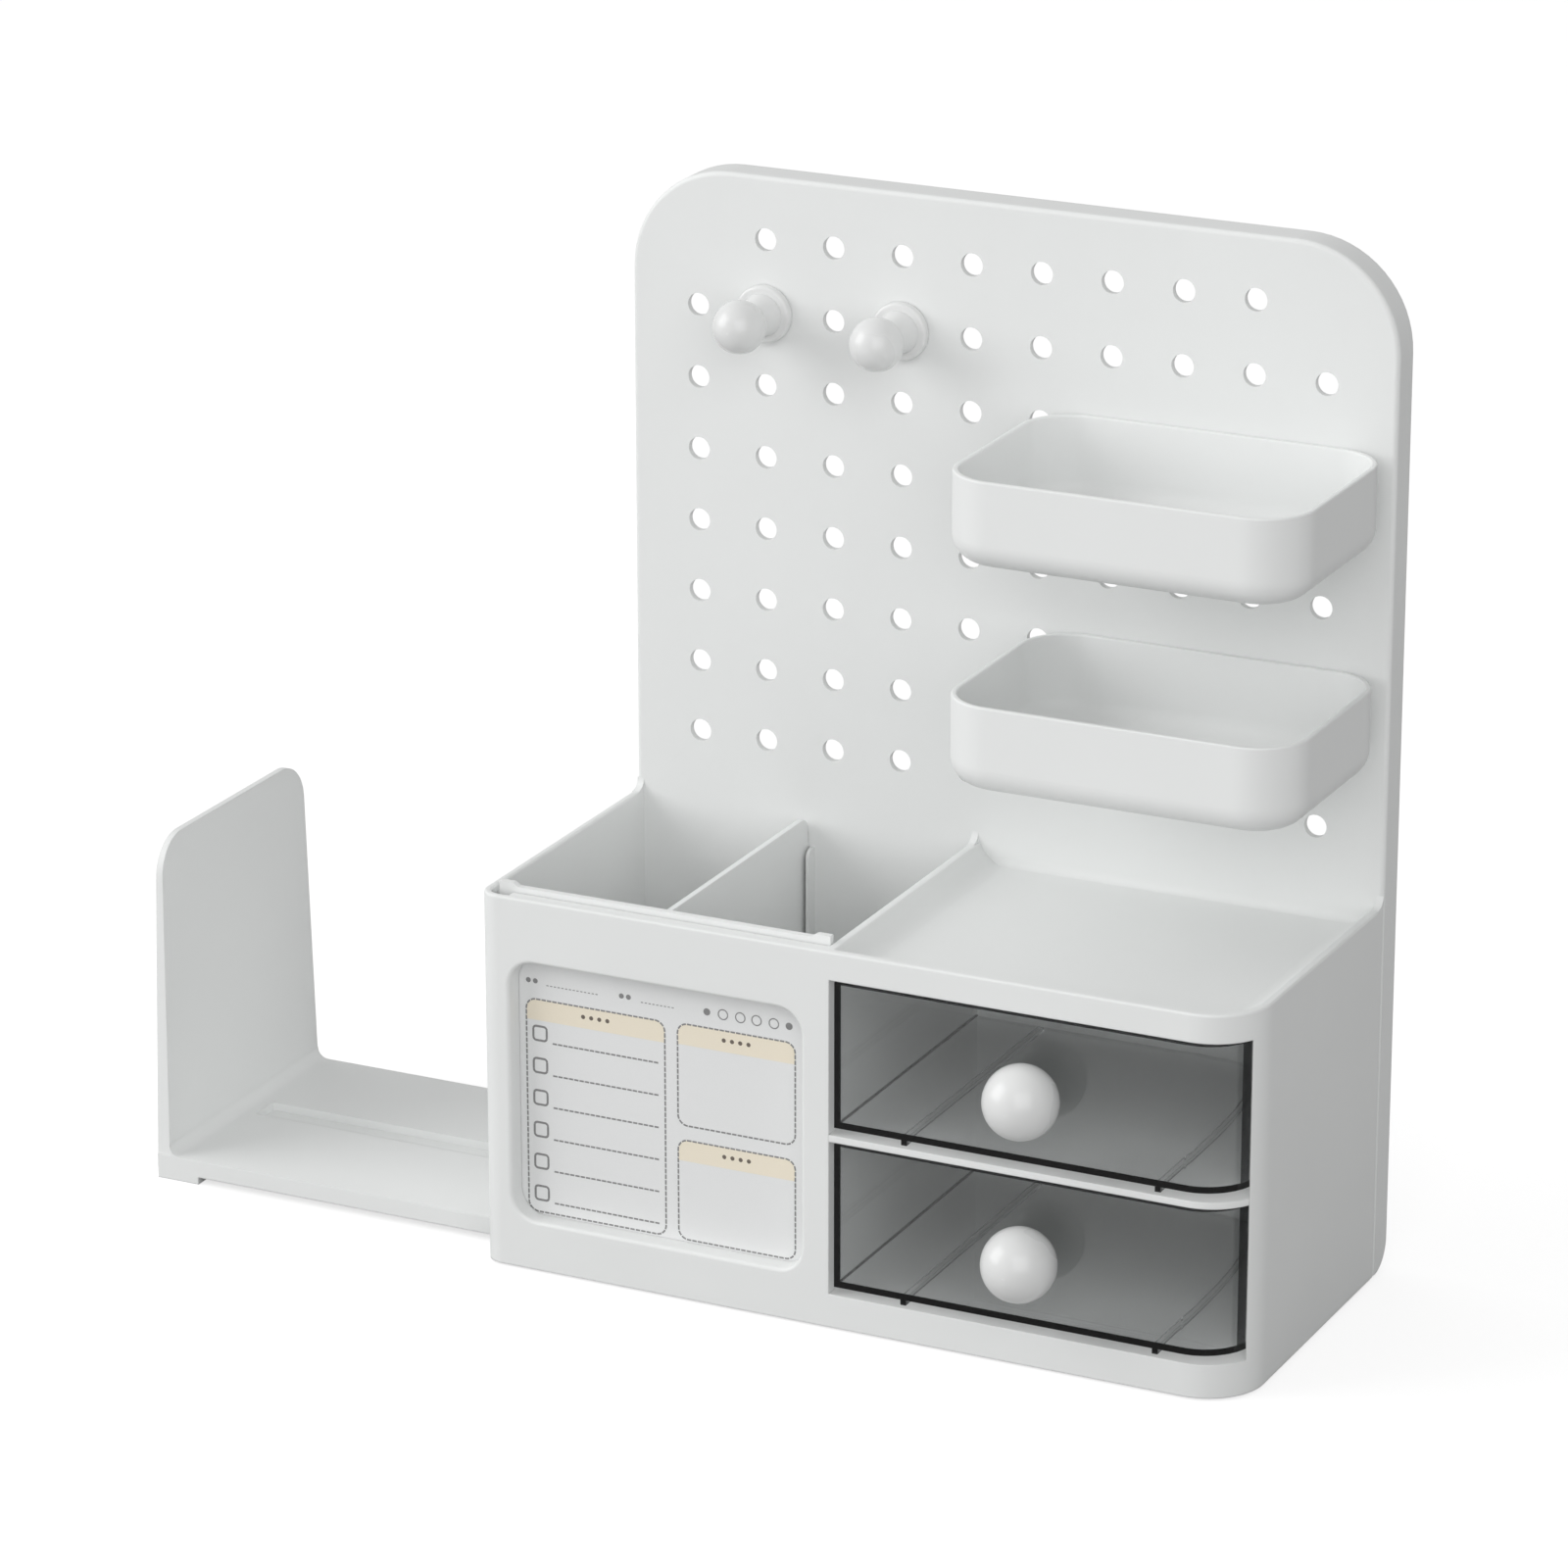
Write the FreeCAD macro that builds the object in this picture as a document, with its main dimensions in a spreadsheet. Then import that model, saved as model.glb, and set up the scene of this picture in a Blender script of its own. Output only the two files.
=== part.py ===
import FreeCAD, Part
import math
import os
import re

import Sketcher

# Pegboard desk organizer: a low cabinet with two drawers, two open bins and a memo window, a perforated
# board standing at its back, hang-on trays and hooks, and a bookend that slides out of its left side.
# Millimetres, +X to the right, +Y to the back, +Z up. Sizes are worked in the cabinet's frame, whose origin
# is the middle of the cabinet's footprint at desk level, and every piece is then placed so that the row's
# origin is the middle of the whole object's footprint.

SIZES = {
    # cabinet housing
    "outer_width": 274,
    "outer_depth": 128,
    "cabinet_height": 132,
    "overall_height": 353,
    "foot_lift": 0.8,
    "wall": 2.5,
    "left_corner": 7,
    "right_corner": 20,
    "edge_round": 0.8,
    # floor, partition and shelves
    "underside_gap": 9.2,
    "floor_wall": 2.5,
    "bins_width": 123.7,
    "partition_wall": 2.4,
    "middle_shelf_wall": 2.4,
    "top_shelf_wall": 3.2,
    "recess_depth": 6.5,
    "recess_cove": 10,
    "board_blend": 2.5,
    "wall_sweep": 4,
    # board
    "rim_depth": 12,
    "rim_corner": 36,
    "board_wall": 2.4,
    "heel_round": 10,
    "heel_clearance": 5,
    "heel_cover_gap": 1,
    "board_edge_round": 1.6,
    "pitch": 25,
    "hole_diameter": 7.8,
    "holes_below_top": 21.5,
    # memo window and what stands behind it
    "frame_depth": 7,
    "window_inset": 11.5,
    "window_width": 107.2,
    "window_bottom": 18,
    "window_height": 92,
    "window_corner": 9,
    "window_round": 1.2,
    "collar_wall": 2,
    "ledge_wall": 2.5,
    "ledge_left_gap": 7.5,
    "memo_clearance": 0.5,
    "memo_wall": 2.2,
    "memo_height": 121.7,
    "memo_left_gap": 2,
    "memo_right_gap": 0.5,
    "memo_nub_width": 5,
    "memo_nub_ramp": 2,
    "memo_nub_height": 1.2,
    "card_wall": 0.3,
    "card_margin": 2,
    "card_height": 108,
    "guide_wall": 2,
    "left_guide_width": 8.5,
    "right_guide_width": 4.5,
    "guide_drop": 2.5,
    # bin divider
    "divider_wall": 2,
    "divider_drop": 0.5,
    "divider_corner": 5,
    "divider_rib_wall": 1.2,
    "divider_rib_gap": 1.2,
    "divider_rib_reach": 5,
    "divider_rib_drop": 11,
    "divider_rib_corner": 3,
    # drawers
    "drawer_wall": 1.8,
    "drawer_side_gap": 1,
    "drawer_top_gap": 1.2,
    "drawer_back_gap": 4,
    "drawer_front_recess": 2,
    "drawer_corner": 18,
    "drawer_back_corner": 3,
    "drawer_floor_lift": 2,
    "runner_wall": 2,
    "left_runner_inset": 24,
    "right_runner_inset": 26,
    "knob_diameter": 25,
    "knob_seat_diameter": 15,
    "screw_diameter": 3,
    "screw_clearance": 0.05,
    "screw_head_diameter": 6.5,
    "screw_head_wall": 1.8,
    "screw_length": 10,
    "screw_tip_gap": 1,
    # trays
    "tray_width": 122.5,
    "tray_depth": 85.5,
    "tray_height": 30,
    "tray_corner": 18,
    "tray_wall": 2,
    "tray_foot_round": 9,
    "tray_rim_round": 0.6,
    "tray_rim_above_pegs": 4.7,
    # pegs and hooks
    "peg_clearance": 0.1,
    "peg_reach": 7,
    "peg_chamfer": 0.8,
    "peg_slot": 1.2,
    "hook_flange_diameter": 19.6,
    "hook_flange_wall": 3,
    "hook_flange_round": 1,
    "hook_neck_base": 14.5,
    "hook_neck_tip": 10,
    "hook_ball_diameter": 18,
    "hook_reach": 19.5,
    # bookend
    "bookend_travel": 127,
    "bookend_height": 122,
    "bookend_wall": 2.4,
    "bookend_root_wall": 4.9,
    "bookend_front_inset": 16,
    "bookend_back_inset": 9,
    "bookend_top_corner": 14,
    "bookend_front_taper": 5,
    "bookend_back_taper": 1.5,
    "bookend_bend": 4,
    "bookend_lift": 2.6,
    "bookend_base_height": 6.2,
    "bookend_base_length": 246,
    "bookend_foot_length": 16,
    "slot_clearance": 1,
    "groove_width": 12,
    "groove_depth": 3.2,
    "groove_start": 12,
    "stop_pin_diameter": 11,
    "stop_pin_back": 4.5,
    "rail_wall": 2,
    "rail_from_edge": 4,
    # bottom cover, its screws and the feet
    "cover_wall": 1.4,
    "cover_gap": 0.3,
    "cover_screw_diameter": 2.4,
    "cover_screw_head": 5,
    "cover_screw_length": 6,
    "boss_diameter": 6.5,
    "boss_inset": 9,
    "foot_diameter": 12,
    # running and seating clearances
    "seat_gap": 0.2,
    "slide_gap": 0.3,
}

COUNTS = {
    # columns and rows of the board's holes, both counted from nought at the top left
    "hole_columns": 10,
    "hole_rows": 8,
    "tray_left_column": 6,
    "tray_right_column": 9,
    "upper_tray_row": 2,
    "lower_tray_row": 5,
    "hook_row": 1,
    "left_hook_column": 1,
    "right_hook_column": 3,
}

PLACES = {
    # cabinet housing
    "left_side": "-outer_width / 2",
    "right_side": "outer_width / 2",
    "front": "-outer_depth / 2",
    "rear": "outer_depth / 2",
    "board_front": "rear - rim_depth",
    "board_back": "board_front + board_wall",
    "floor_under": "foot_lift + underside_gap",
    "floor_top": "floor_under + floor_wall",
    "inner_left": "left_side + wall",
    "inner_right": "right_side - wall",
    "inner_front": "front + wall",
    "partition_left": "inner_left + bins_width",
    "bay_left": "partition_left + partition_wall",
    "bay_width": "inner_right - bay_left",
    "recess_floor": "cabinet_height - recess_depth",
    "bay_top": "recess_floor - top_shelf_wall",
    "opening_height": "(bay_top - floor_top - middle_shelf_wall) / 2",
    "middle_shelf_under": "floor_top + opening_height",
    "upper_opening": "middle_shelf_under + middle_shelf_wall",
    "blank_top": "cabinet_height + recess_cove",
    "sweep_top": "cabinet_height + wall_sweep",
    # holes of the board
    "first_column": "-(hole_columns - 1) / 2 * pitch",
    "top_row": "overall_height - holes_below_top",
    "bottom_row": "top_row - (hole_rows - 1) * pitch",
    # memo window, memo board and divider
    "window_left": "left_side + window_inset",
    "frame_back": "front + frame_depth",
    "card_front": "frame_back + memo_clearance - card_wall",
    "memo_front": "frame_back + memo_clearance",
    "memo_back": "memo_front + memo_wall",
    "memo_left": "inner_left + memo_left_gap",
    "memo_right": "partition_left - memo_right_gap",
    "memo_bottom": "floor_top + seat_gap",
    "memo_top": "memo_bottom + memo_height",
    "guide_front": "memo_back + seat_gap",
    "guide_back": "guide_front + guide_wall",
    "guide_top": "cabinet_height - guide_drop",
    "divider_left": "inner_left + (bins_width - divider_wall) / 2",
    "divider_right": "divider_left + divider_wall",
    "divider_front": "memo_back + slide_gap",
    "divider_back": "board_front - slide_gap",
    "divider_bottom": "floor_top + seat_gap",
    "divider_top": "cabinet_height - divider_drop",
    "divider_rib_top": "cabinet_height - divider_rib_drop",
    # drawers, in their own frame: left front bottom corner of the opening
    "drawer_left": "drawer_side_gap",
    "drawer_right": "bay_width - drawer_side_gap",
    "drawer_front": "drawer_front_recess",
    "drawer_back": "board_front - front - drawer_back_gap",
    "drawer_floor": "drawer_floor_lift + drawer_wall",
    "drawer_top": "opening_height - drawer_top_gap",
    "knob_across": "bay_width / 2",
    "knob_up": "opening_height / 2",
    "knob_radius": "knob_diameter / 2",
    "knob_centre": "sqrt(knob_radius ^ 2 - (knob_seat_diameter / 2) ^ 2)",
    "knob_tip": "knob_centre + knob_radius",
    "screw_radius": "screw_diameter / 2",
    "screw_hole": "screw_diameter + 2 * screw_clearance",
    "pilot_depth": "screw_length - drawer_wall + screw_tip_gap",
    # trays and hooks
    "tray_bottom": "tray_rim_above_pegs - tray_height",
    "tray_centre": "first_column + (tray_left_column + tray_right_column) / 2 * pitch",
    "tray_peg_spread": "(tray_right_column - tray_left_column) * pitch",
    "peg_diameter": "hole_diameter - 2 * peg_clearance",
    "peg_radius": "peg_diameter / 2",
    "flange_radius": "hook_flange_diameter / 2",
    "ball_radius": "hook_ball_diameter / 2",
    "neck_base_radius": "hook_neck_base / 2",
    "neck_tip_radius": "hook_neck_tip / 2",
    "neck_tip_reach": "hook_reach - sqrt(ball_radius ^ 2 - neck_tip_radius ^ 2)",
    # bookend
    "bookend_stop": "left_side - slide_gap - bookend_bend",
    "bookend_inner": "bookend_stop - bookend_travel",
    "bookend_outer": "bookend_inner - bookend_root_wall",
    "bookend_front": "front + bookend_front_inset",
    "bookend_back": "rear - bookend_back_inset",
    "bookend_depth": "bookend_back - (bookend_front)",
    "bookend_end": "bookend_outer + bookend_base_length",
    "bookend_base_top": "bookend_lift + bookend_base_height",
    "groove_floor": "bookend_base_top - groove_depth",
    "stop_pin_across": "bookend_outer + groove_start + groove_width / 2 + bookend_travel + slide_gap",
    "groove_end": "stop_pin_across + groove_width / 2",
    "groove_front": "stop_pin_back - groove_width / 2",
    "groove_back": "stop_pin_back + groove_width / 2",
    "stop_pin_tip": "groove_floor + slide_gap",
    "rail_under": "bookend_base_top + slide_gap",
    "slot_front": "bookend_front - slot_clearance",
    "slot_back": "bookend_back + slot_clearance",
    "slot_top": "bookend_base_top + 2 * slide_gap",
    "heel_front": "board_front + heel_clearance",
    # bottom cover
    "cover_top": "bookend_lift - seat_gap",
    "cover_under": "cover_top - cover_wall",
    "cover_left": "bookend_stop - bookend_root_wall + bookend_foot_length + 2 * slide_gap",
    "cover_right": "inner_right - cover_gap",
    "cover_front": "inner_front + cover_gap",
    "cover_back": "heel_front - heel_cover_gap",
    "boss_front": "inner_front + boss_inset - wall",
    "boss_left": "cover_left + boss_inset",
    "boss_right": "inner_right - boss_inset - cover_gap",
    "boss_back": "board_front - boss_inset",
    # the row's origin, seen from the middle of the cabinet's footprint
    "middle_x": "(bookend_outer + right_side) / 2",
    "middle_y": "(front + drawer_front_recess - knob_tip + rear) / 2",
}

PARTS_FOLDER = "parts"
WORD = re.compile(r"[a-z_][a-z0-9_]*")
OPEN_END = "2"  # how far a cut runs past the face that it leaves through
SAME_LEVEL = 1e-3  # millimetres
LEAST_CUT = 1e-3  # cubic millimetres

doc = FreeCAD.newDocument("pegboard_desk_organizer")
sheet = doc.addObject("Spreadsheet::Sheet", "dims")
for row, (alias, size) in enumerate({**SIZES, **COUNTS}.items(), start=1):
    sheet.set(f"A{row}", alias)
    sheet.set(f"B{row}", str(size))
    sheet.setAlias(f"B{row}", alias)
doc.recompute()


def bind(formula):
    """Spell a formula out: a place becomes its own formula, and a size becomes its cell of the sheet."""

    def spell(found):
        word = found.group(0)
        if word in PLACES:
            return f"({bind(PLACES[word])})"
        if word in SIZES or word in COUNTS:
            return f"dims.{word}"
        return word

    return WORD.sub(spell, formula)


def value(formula):
    """The number that a formula gives with the sheet's sizes."""
    return float(sheet.evalExpression(bind(formula)))


def new_body(label, at=("0", "0", "0")):
    """A body whose own frame stands at a place of the cabinet's frame."""
    body = doc.addObject("PartDesign::Body", label)
    body.Label = label
    for axis, place, middle in zip("xyz", at, ("middle_x", "middle_y", "0")):
        body.setExpression(f"Placement.Base.{axis}", bind(f"{place} - {middle}"))
    return body


def sketch_on(body, name, plane, at):
    """An empty sketch on one of the body's origin planes, shifted to a place of the body's frame."""
    x, y, z = at
    offset = {"XY_Plane": (x, y, z), "XZ_Plane": (x, z, f"-({y})"), "YZ_Plane": (y, z, x)}[plane]
    sketch = body.newObject("Sketcher::SketchObject", name)
    support = [feature for feature in body.Origin.OriginFeatures if feature.Role == plane]
    sketch.AttachmentSupport = (support[0], [""])
    sketch.MapMode = "FlatFace"
    for axis, place in zip("xyz", offset):
        sketch.setExpression(f"AttachmentOffset.Base.{axis}", bind(place))
    return sketch


def constrain(sketch, constraint, formula):
    """Add a constraint and bind its value."""
    index = sketch.addConstraint(constraint)
    sketch.setExpression(f"Constraints[{index}]", bind(formula))


def pin_point(sketch, edge, end, x, y):
    """Fix one end of an edge by its distances from the sketch's origin."""
    for kind, formula in (("DistanceX", x), ("DistanceY", y)):
        constrain(sketch, Sketcher.Constraint(kind, -1, 1, edge, end, value(formula)), formula)


def draw_circle(sketch, diameter):
    """A circle round the sketch's origin."""
    circle = Part.Circle(FreeCAD.Vector(0, 0, 0), FreeCAD.Vector(0, 0, 1), value(diameter) / 2)
    edge = sketch.addGeometry(circle)
    sketch.addConstraint(Sketcher.Constraint("Coincident", edge, 3, -1, 1))
    constrain(sketch, Sketcher.Constraint("Diameter", edge, value(diameter)), diameter)


def arc_between(start, end, radius):
    """The shorter arc from start to end that turns left round its centre, or right for a negative radius."""
    chord = end - start
    height = math.sqrt(max(radius ** 2 - (chord.Length / 2) ** 2, 0))
    side = FreeCAD.Vector(-chord.y, chord.x, 0).normalize() * math.copysign(height, radius)
    centre = (start + end) / 2 + side
    first, last = (start, end) if radius > 0 else (end, start)
    from_angle = math.atan2(first.y - centre.y, first.x - centre.x)
    to_angle = math.atan2(last.y - centre.y, last.x - centre.x)
    if to_angle < from_angle:
        to_angle += 2 * math.pi
    circle = Part.Circle(centre, FreeCAD.Vector(0, 0, 1), abs(radius))
    return Part.ArcOfCircle(circle, from_angle, to_angle)


def draw_path(sketch, stations):
    """A closed outline through stations (x, y) or (x, y, radius). A line runs from each station to the next,
    or an arc where the station has a radius: it turns left, or right where the turn is written with a minus."""
    points = [FreeCAD.Vector(value(station[0]), value(station[1]), 0) for station in stations]
    ends = []
    for index, station in enumerate(stations):
        start, end = points[index], points[(index + 1) % len(points)]
        if len(station) == 2:
            sketch.addGeometry(Part.LineSegment(start, end))
            ends.append((1, 2))
            continue
        radius = value(station[2])
        sketch.addGeometry(arc_between(start, end, radius))
        ends.append((1, 2) if radius > 0 else (2, 1))
    for index, station in enumerate(stations):
        following = (index + 1) % len(stations)
        joint = Sketcher.Constraint("Coincident", index, ends[index][1], following, ends[following][0])
        sketch.addConstraint(joint)
        pin_point(sketch, index, ends[index][0], station[0], station[1])
        if len(station) == 3:
            size = f"abs({station[2]})"
            constrain(sketch, Sketcher.Constraint("Radius", index, value(size)), size)


def rectangle(width, height, corners=None):
    """Stations of a rectangle from its lower left corner, anticlockwise. corners maps a corner's name to its
    radius: low_left, low_right, high_right, high_left."""
    corners = corners or {}
    stations = []
    low_left = corners.get("low_left")
    low_right = corners.get("low_right")
    high_right = corners.get("high_right")
    high_left = corners.get("high_left")
    if low_left:
        stations.append(("0", low_left, low_left))
        stations.append((low_left, "0"))
    else:
        stations.append(("0", "0"))
    if low_right:
        stations.append((f"{width} - ({low_right})", "0", low_right))
        stations.append((width, low_right))
    else:
        stations.append((width, "0"))
    if high_right:
        stations.append((width, f"{height} - ({high_right})", high_right))
        stations.append((f"{width} - ({high_right})", height))
    else:
        stations.append((width, height))
    if high_left:
        stations.append((high_left, height, high_left))
        stations.append(("0", f"{height} - ({high_left})"))
    else:
        stations.append(("0", height))
    return stations


def extrude(body, name, sketch, plane, depth, cut):
    """Pad or pocket a sketch towards the positive end of the axis that its plane faces."""
    feature = body.newObject("PartDesign::Pocket" if cut else "PartDesign::Pad", name)
    feature.Profile = sketch
    feature.setExpression("Length", bind(depth))
    feature.Reversed = (plane == "XZ_Plane") != cut
    body.Tip = feature
    doc.recompute()
    return feature


def prism(body, name, plane, at, stations, depth, cut=False):
    """A prism over an outline that starts at a place of the body's frame."""
    sketch = sketch_on(body, f"{name}_outline", plane, at)
    draw_path(sketch, stations)
    return extrude(body, name, sketch, plane, depth, cut)


def block(body, name, low, high, cut=False, corners=None):
    """A block from its low to its high corner, with upright edges rounded where corners says so."""
    width, depth, height = (f"({end}) - ({start})" for start, end in zip(low, high))
    return prism(body, name, "XY_Plane", low, rectangle(width, depth, corners), height, cut)


def drum(body, name, plane, at, diameter, depth, cut=False):
    """A round boss or hole that starts at a place of the body's frame."""
    sketch = sketch_on(body, f"{name}_outline", plane, at)
    draw_circle(sketch, diameter)
    return extrude(body, name, sketch, plane, depth, cut)


def revolve(body, name, stations):
    """Turn an outline on the XY plane right round the Y axis."""
    sketch = sketch_on(body, f"{name}_outline", "XY_Plane", ("0", "0", "0"))
    draw_path(sketch, stations)
    feature = body.newObject("PartDesign::Revolution", name)
    feature.Profile = sketch
    feature.ReferenceAxis = (sketch, ["V_Axis"])
    feature.Angle = 360
    body.Tip = feature
    doc.recompute()
    return feature


def row_of(body, name, original, sketch, counts_and_reaches):
    """Repeat a feature in one row or in a grid: (axis, reach, count) for each direction."""
    pattern = body.newObject("PartDesign::LinearPattern", name)
    pattern.Originals = [original]
    for suffix, (axis, reach, count) in zip(("", "2"), counts_and_reaches):
        setattr(pattern, f"Direction{suffix}", (sketch, [axis]))
        pattern.setExpression(f"Length{suffix}", bind(reach))
        pattern.setExpression(f"Occurrences{suffix}", bind(count))
    body.Tip = pattern
    doc.recompute()
    return pattern


def on_level(edge, axis, level):
    """Whether an edge lies wholly at one level of an axis."""
    box = edge.BoundBox
    low, high = getattr(box, f"{axis}Min"), getattr(box, f"{axis}Max")
    return abs(low - level) < SAME_LEVEL and abs(high - level) < SAME_LEVEL


def round_edges(body, name, radius, chosen):
    """Fillet the edges of the body's last feature that the test picks."""
    base = body.Tip
    names = [f"Edge{number}" for number, edge in enumerate(base.Shape.Edges, start=1) if chosen(edge)]
    if not names:
        raise RuntimeError(f"{body.Label}: {name} finds no edge")
    fillet = body.newObject("PartDesign::Fillet", name)
    fillet.Base = (base, names)
    fillet.setExpression("Radius", bind(radius))
    body.Tip = fillet
    doc.recompute()
    return fillet


def sweep_profile(radius):
    """Outline of a concave sweep that turns a level edge up into an upright face on its right."""
    return [(f"-({radius})", "0", radius), ("0", radius), ("0", "0")]


def cabinet_shell():
    """Housing open at the back: walls, floor, partition, recessed top shelf and hollow front frame. The blank
    is taller than the housing, so that the coves of the recess are wider than the rim leaves of them."""
    body = new_body("cabinet_shell")
    inner_corners = {"low_left": "left_corner - wall", "low_right": "right_corner - wall"}
    block(
        body,
        "housing",
        ("left_side", "front", "foot_lift"),
        ("right_side", "board_front", "blank_top"),
        corners={"low_left": "left_corner", "low_right": "right_corner"},
    )
    block(
        body,
        "underside",
        ("inner_left", "inner_front", "foot_lift"),
        ("inner_right", f"board_front + {OPEN_END}", "floor_under"),
        cut=True,
        corners=inner_corners,
    )
    block(
        body,
        "bins",
        ("inner_left", "inner_front", "floor_top"),
        ("partition_left", f"board_front + {OPEN_END}", f"blank_top + {OPEN_END}"),
        cut=True,
        corners={"low_left": "left_corner - wall"},
    )
    block(
        body,
        "drawer_bay",
        ("bay_left", f"front - {OPEN_END}", "floor_top"),
        ("inner_right", f"board_front + {OPEN_END}", "bay_top"),
        cut=True,
    )
    block(
        body,
        "shelf_recess",
        ("bay_left", "inner_front", "recess_floor"),
        ("inner_right", f"board_front + {OPEN_END}", f"blank_top + {OPEN_END}"),
        cut=True,
        corners={"low_right": "right_corner - wall"},
    )
    recess_floor = value("recess_floor")
    board_front = value("board_front")
    round_edges(
        body,
        "recess_coves",
        "recess_cove",
        lambda edge: on_level(edge, "Z", recess_floor) and not on_level(edge, "Y", board_front),
    )
    block(
        body,
        "top_trim",
        (f"left_side - {OPEN_END}", f"front - {OPEN_END}", "cabinet_height"),
        (f"right_side + {OPEN_END}", f"board_front + {OPEN_END}", f"blank_top + {OPEN_END}"),
        cut=True,
    )
    cabinet_top = value("cabinet_height")
    round_edges(
        body,
        "rim_rounding",
        "edge_round",
        lambda edge: on_level(edge, "Z", cabinet_top) and not on_level(edge, "Y", board_front),
    )
    shell_front_frame(body)
    shell_sweeps(body)
    shell_underside(body)
    return body


def shell_front_frame(body):
    """Memo window with its collar, the ledge over it and the guides that hold the memo board."""
    collar_width = "window_width + 2 * collar_wall"
    collar_height = "window_height + 2 * collar_wall"
    all_corners = ("low_left", "low_right", "high_right", "high_left")
    prism(
        body,
        "window_collar",
        "XZ_Plane",
        ("window_left - collar_wall", "inner_front", "window_bottom - collar_wall"),
        rectangle(collar_width, collar_height, dict.fromkeys(all_corners, "window_corner + collar_wall")),
        "frame_back - inner_front",
    )
    block(
        body,
        "front_ledge",
        ("inner_left + ledge_left_gap", "inner_front", "cabinet_height - ledge_wall"),
        ("partition_left", "frame_back", "cabinet_height - edge_round"),
    )
    prism(
        body,
        "window",
        "XZ_Plane",
        ("window_left", "front", "window_bottom"),
        rectangle("window_width", "window_height", dict.fromkeys(all_corners, "window_corner")),
        "frame_depth",
        cut=True,
    )
    front = value("front")
    window_level = value("window_bottom")
    window_left, window_right = value("window_left"), value("window_left + window_width")
    round_edges(
        body,
        "window_rounding",
        "window_round",
        lambda edge: on_level(edge, "Y", front)
        and edge.BoundBox.ZMin > window_level - SAME_LEVEL
        and edge.BoundBox.XMin > window_left - SAME_LEVEL
        and edge.BoundBox.XMax < window_right + SAME_LEVEL,
    )
    block(
        body,
        "left_guide",
        ("inner_left", "guide_front", "floor_top"),
        ("inner_left + left_guide_width", "guide_back", "guide_top"),
    )
    block(
        body,
        "right_guide",
        ("partition_left - right_guide_width", "guide_front", "floor_top"),
        ("partition_left", "guide_back", "guide_top"),
    )


def shell_sweeps(body):
    """Concave sweeps that carry the tops of the walls and the shelf up into the board."""
    top = "cabinet_height - edge_round"
    stations = [
        ("-wall_sweep - edge_round", "0"),
        ("-wall_sweep", "edge_round", "wall_sweep"),
        ("0", "wall_sweep + edge_round"),
        ("0", "0"),
    ]
    walls = (
        ("left_wall_sweep", "left_side", "wall"),
        ("partition_sweep", "partition_left", "partition_wall"),
        ("right_wall_sweep", "inner_right", "wall"),
    )
    for name, start, thickness in walls:
        prism(body, name, "YZ_Plane", (start, "board_front", top), stations, thickness)
    shelf_at = ("bay_left", "board_front", "recess_floor")
    prism(body, "shelf_sweep", "YZ_Plane", shelf_at, sweep_profile("board_blend"), "bay_width")


def shell_underside(body):
    """Slot for the bookend, its guide rails and stop pin, and the bosses for the cover's screws."""
    block(
        body,
        "bookend_slot",
        (f"left_side - {OPEN_END}", "slot_front", f"foot_lift - {OPEN_END}"),
        (f"inner_left + {OPEN_END}", f"board_front + {OPEN_END}", "slot_top"),
        cut=True,
    )
    rails = (
        ("front_rail", "bookend_front + rail_from_edge"),
        ("back_rail", "board_front - rail_from_edge - rail_wall"),
    )
    for name, start in rails:
        block(
            body,
            name,
            ("inner_left", start, "rail_under"),
            ("inner_right", f"{start} + rail_wall", "floor_under"),
        )
    pin_at = ("stop_pin_across", "stop_pin_back", "stop_pin_tip")
    drum(body, "stop_pin", "XY_Plane", pin_at, "stop_pin_diameter", "floor_under - stop_pin_tip")
    for number, (across, back) in enumerate(SCREW_PLACES, start=1):
        at = (across, back, "cover_top")
        drum(body, f"boss_{number}", "XY_Plane", at, "boss_diameter", "floor_under - cover_top")
        drum(body, f"pilot_{number}", "XY_Plane", at, "cover_screw_diameter", "cover_screw_length", cut=True)


SCREW_PLACES = (
    ("boss_left", "boss_front"),
    ("0", "boss_front"),
    ("boss_right - right_corner / 3", "boss_front"),
    ("boss_right", "boss_back"),
)


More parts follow.
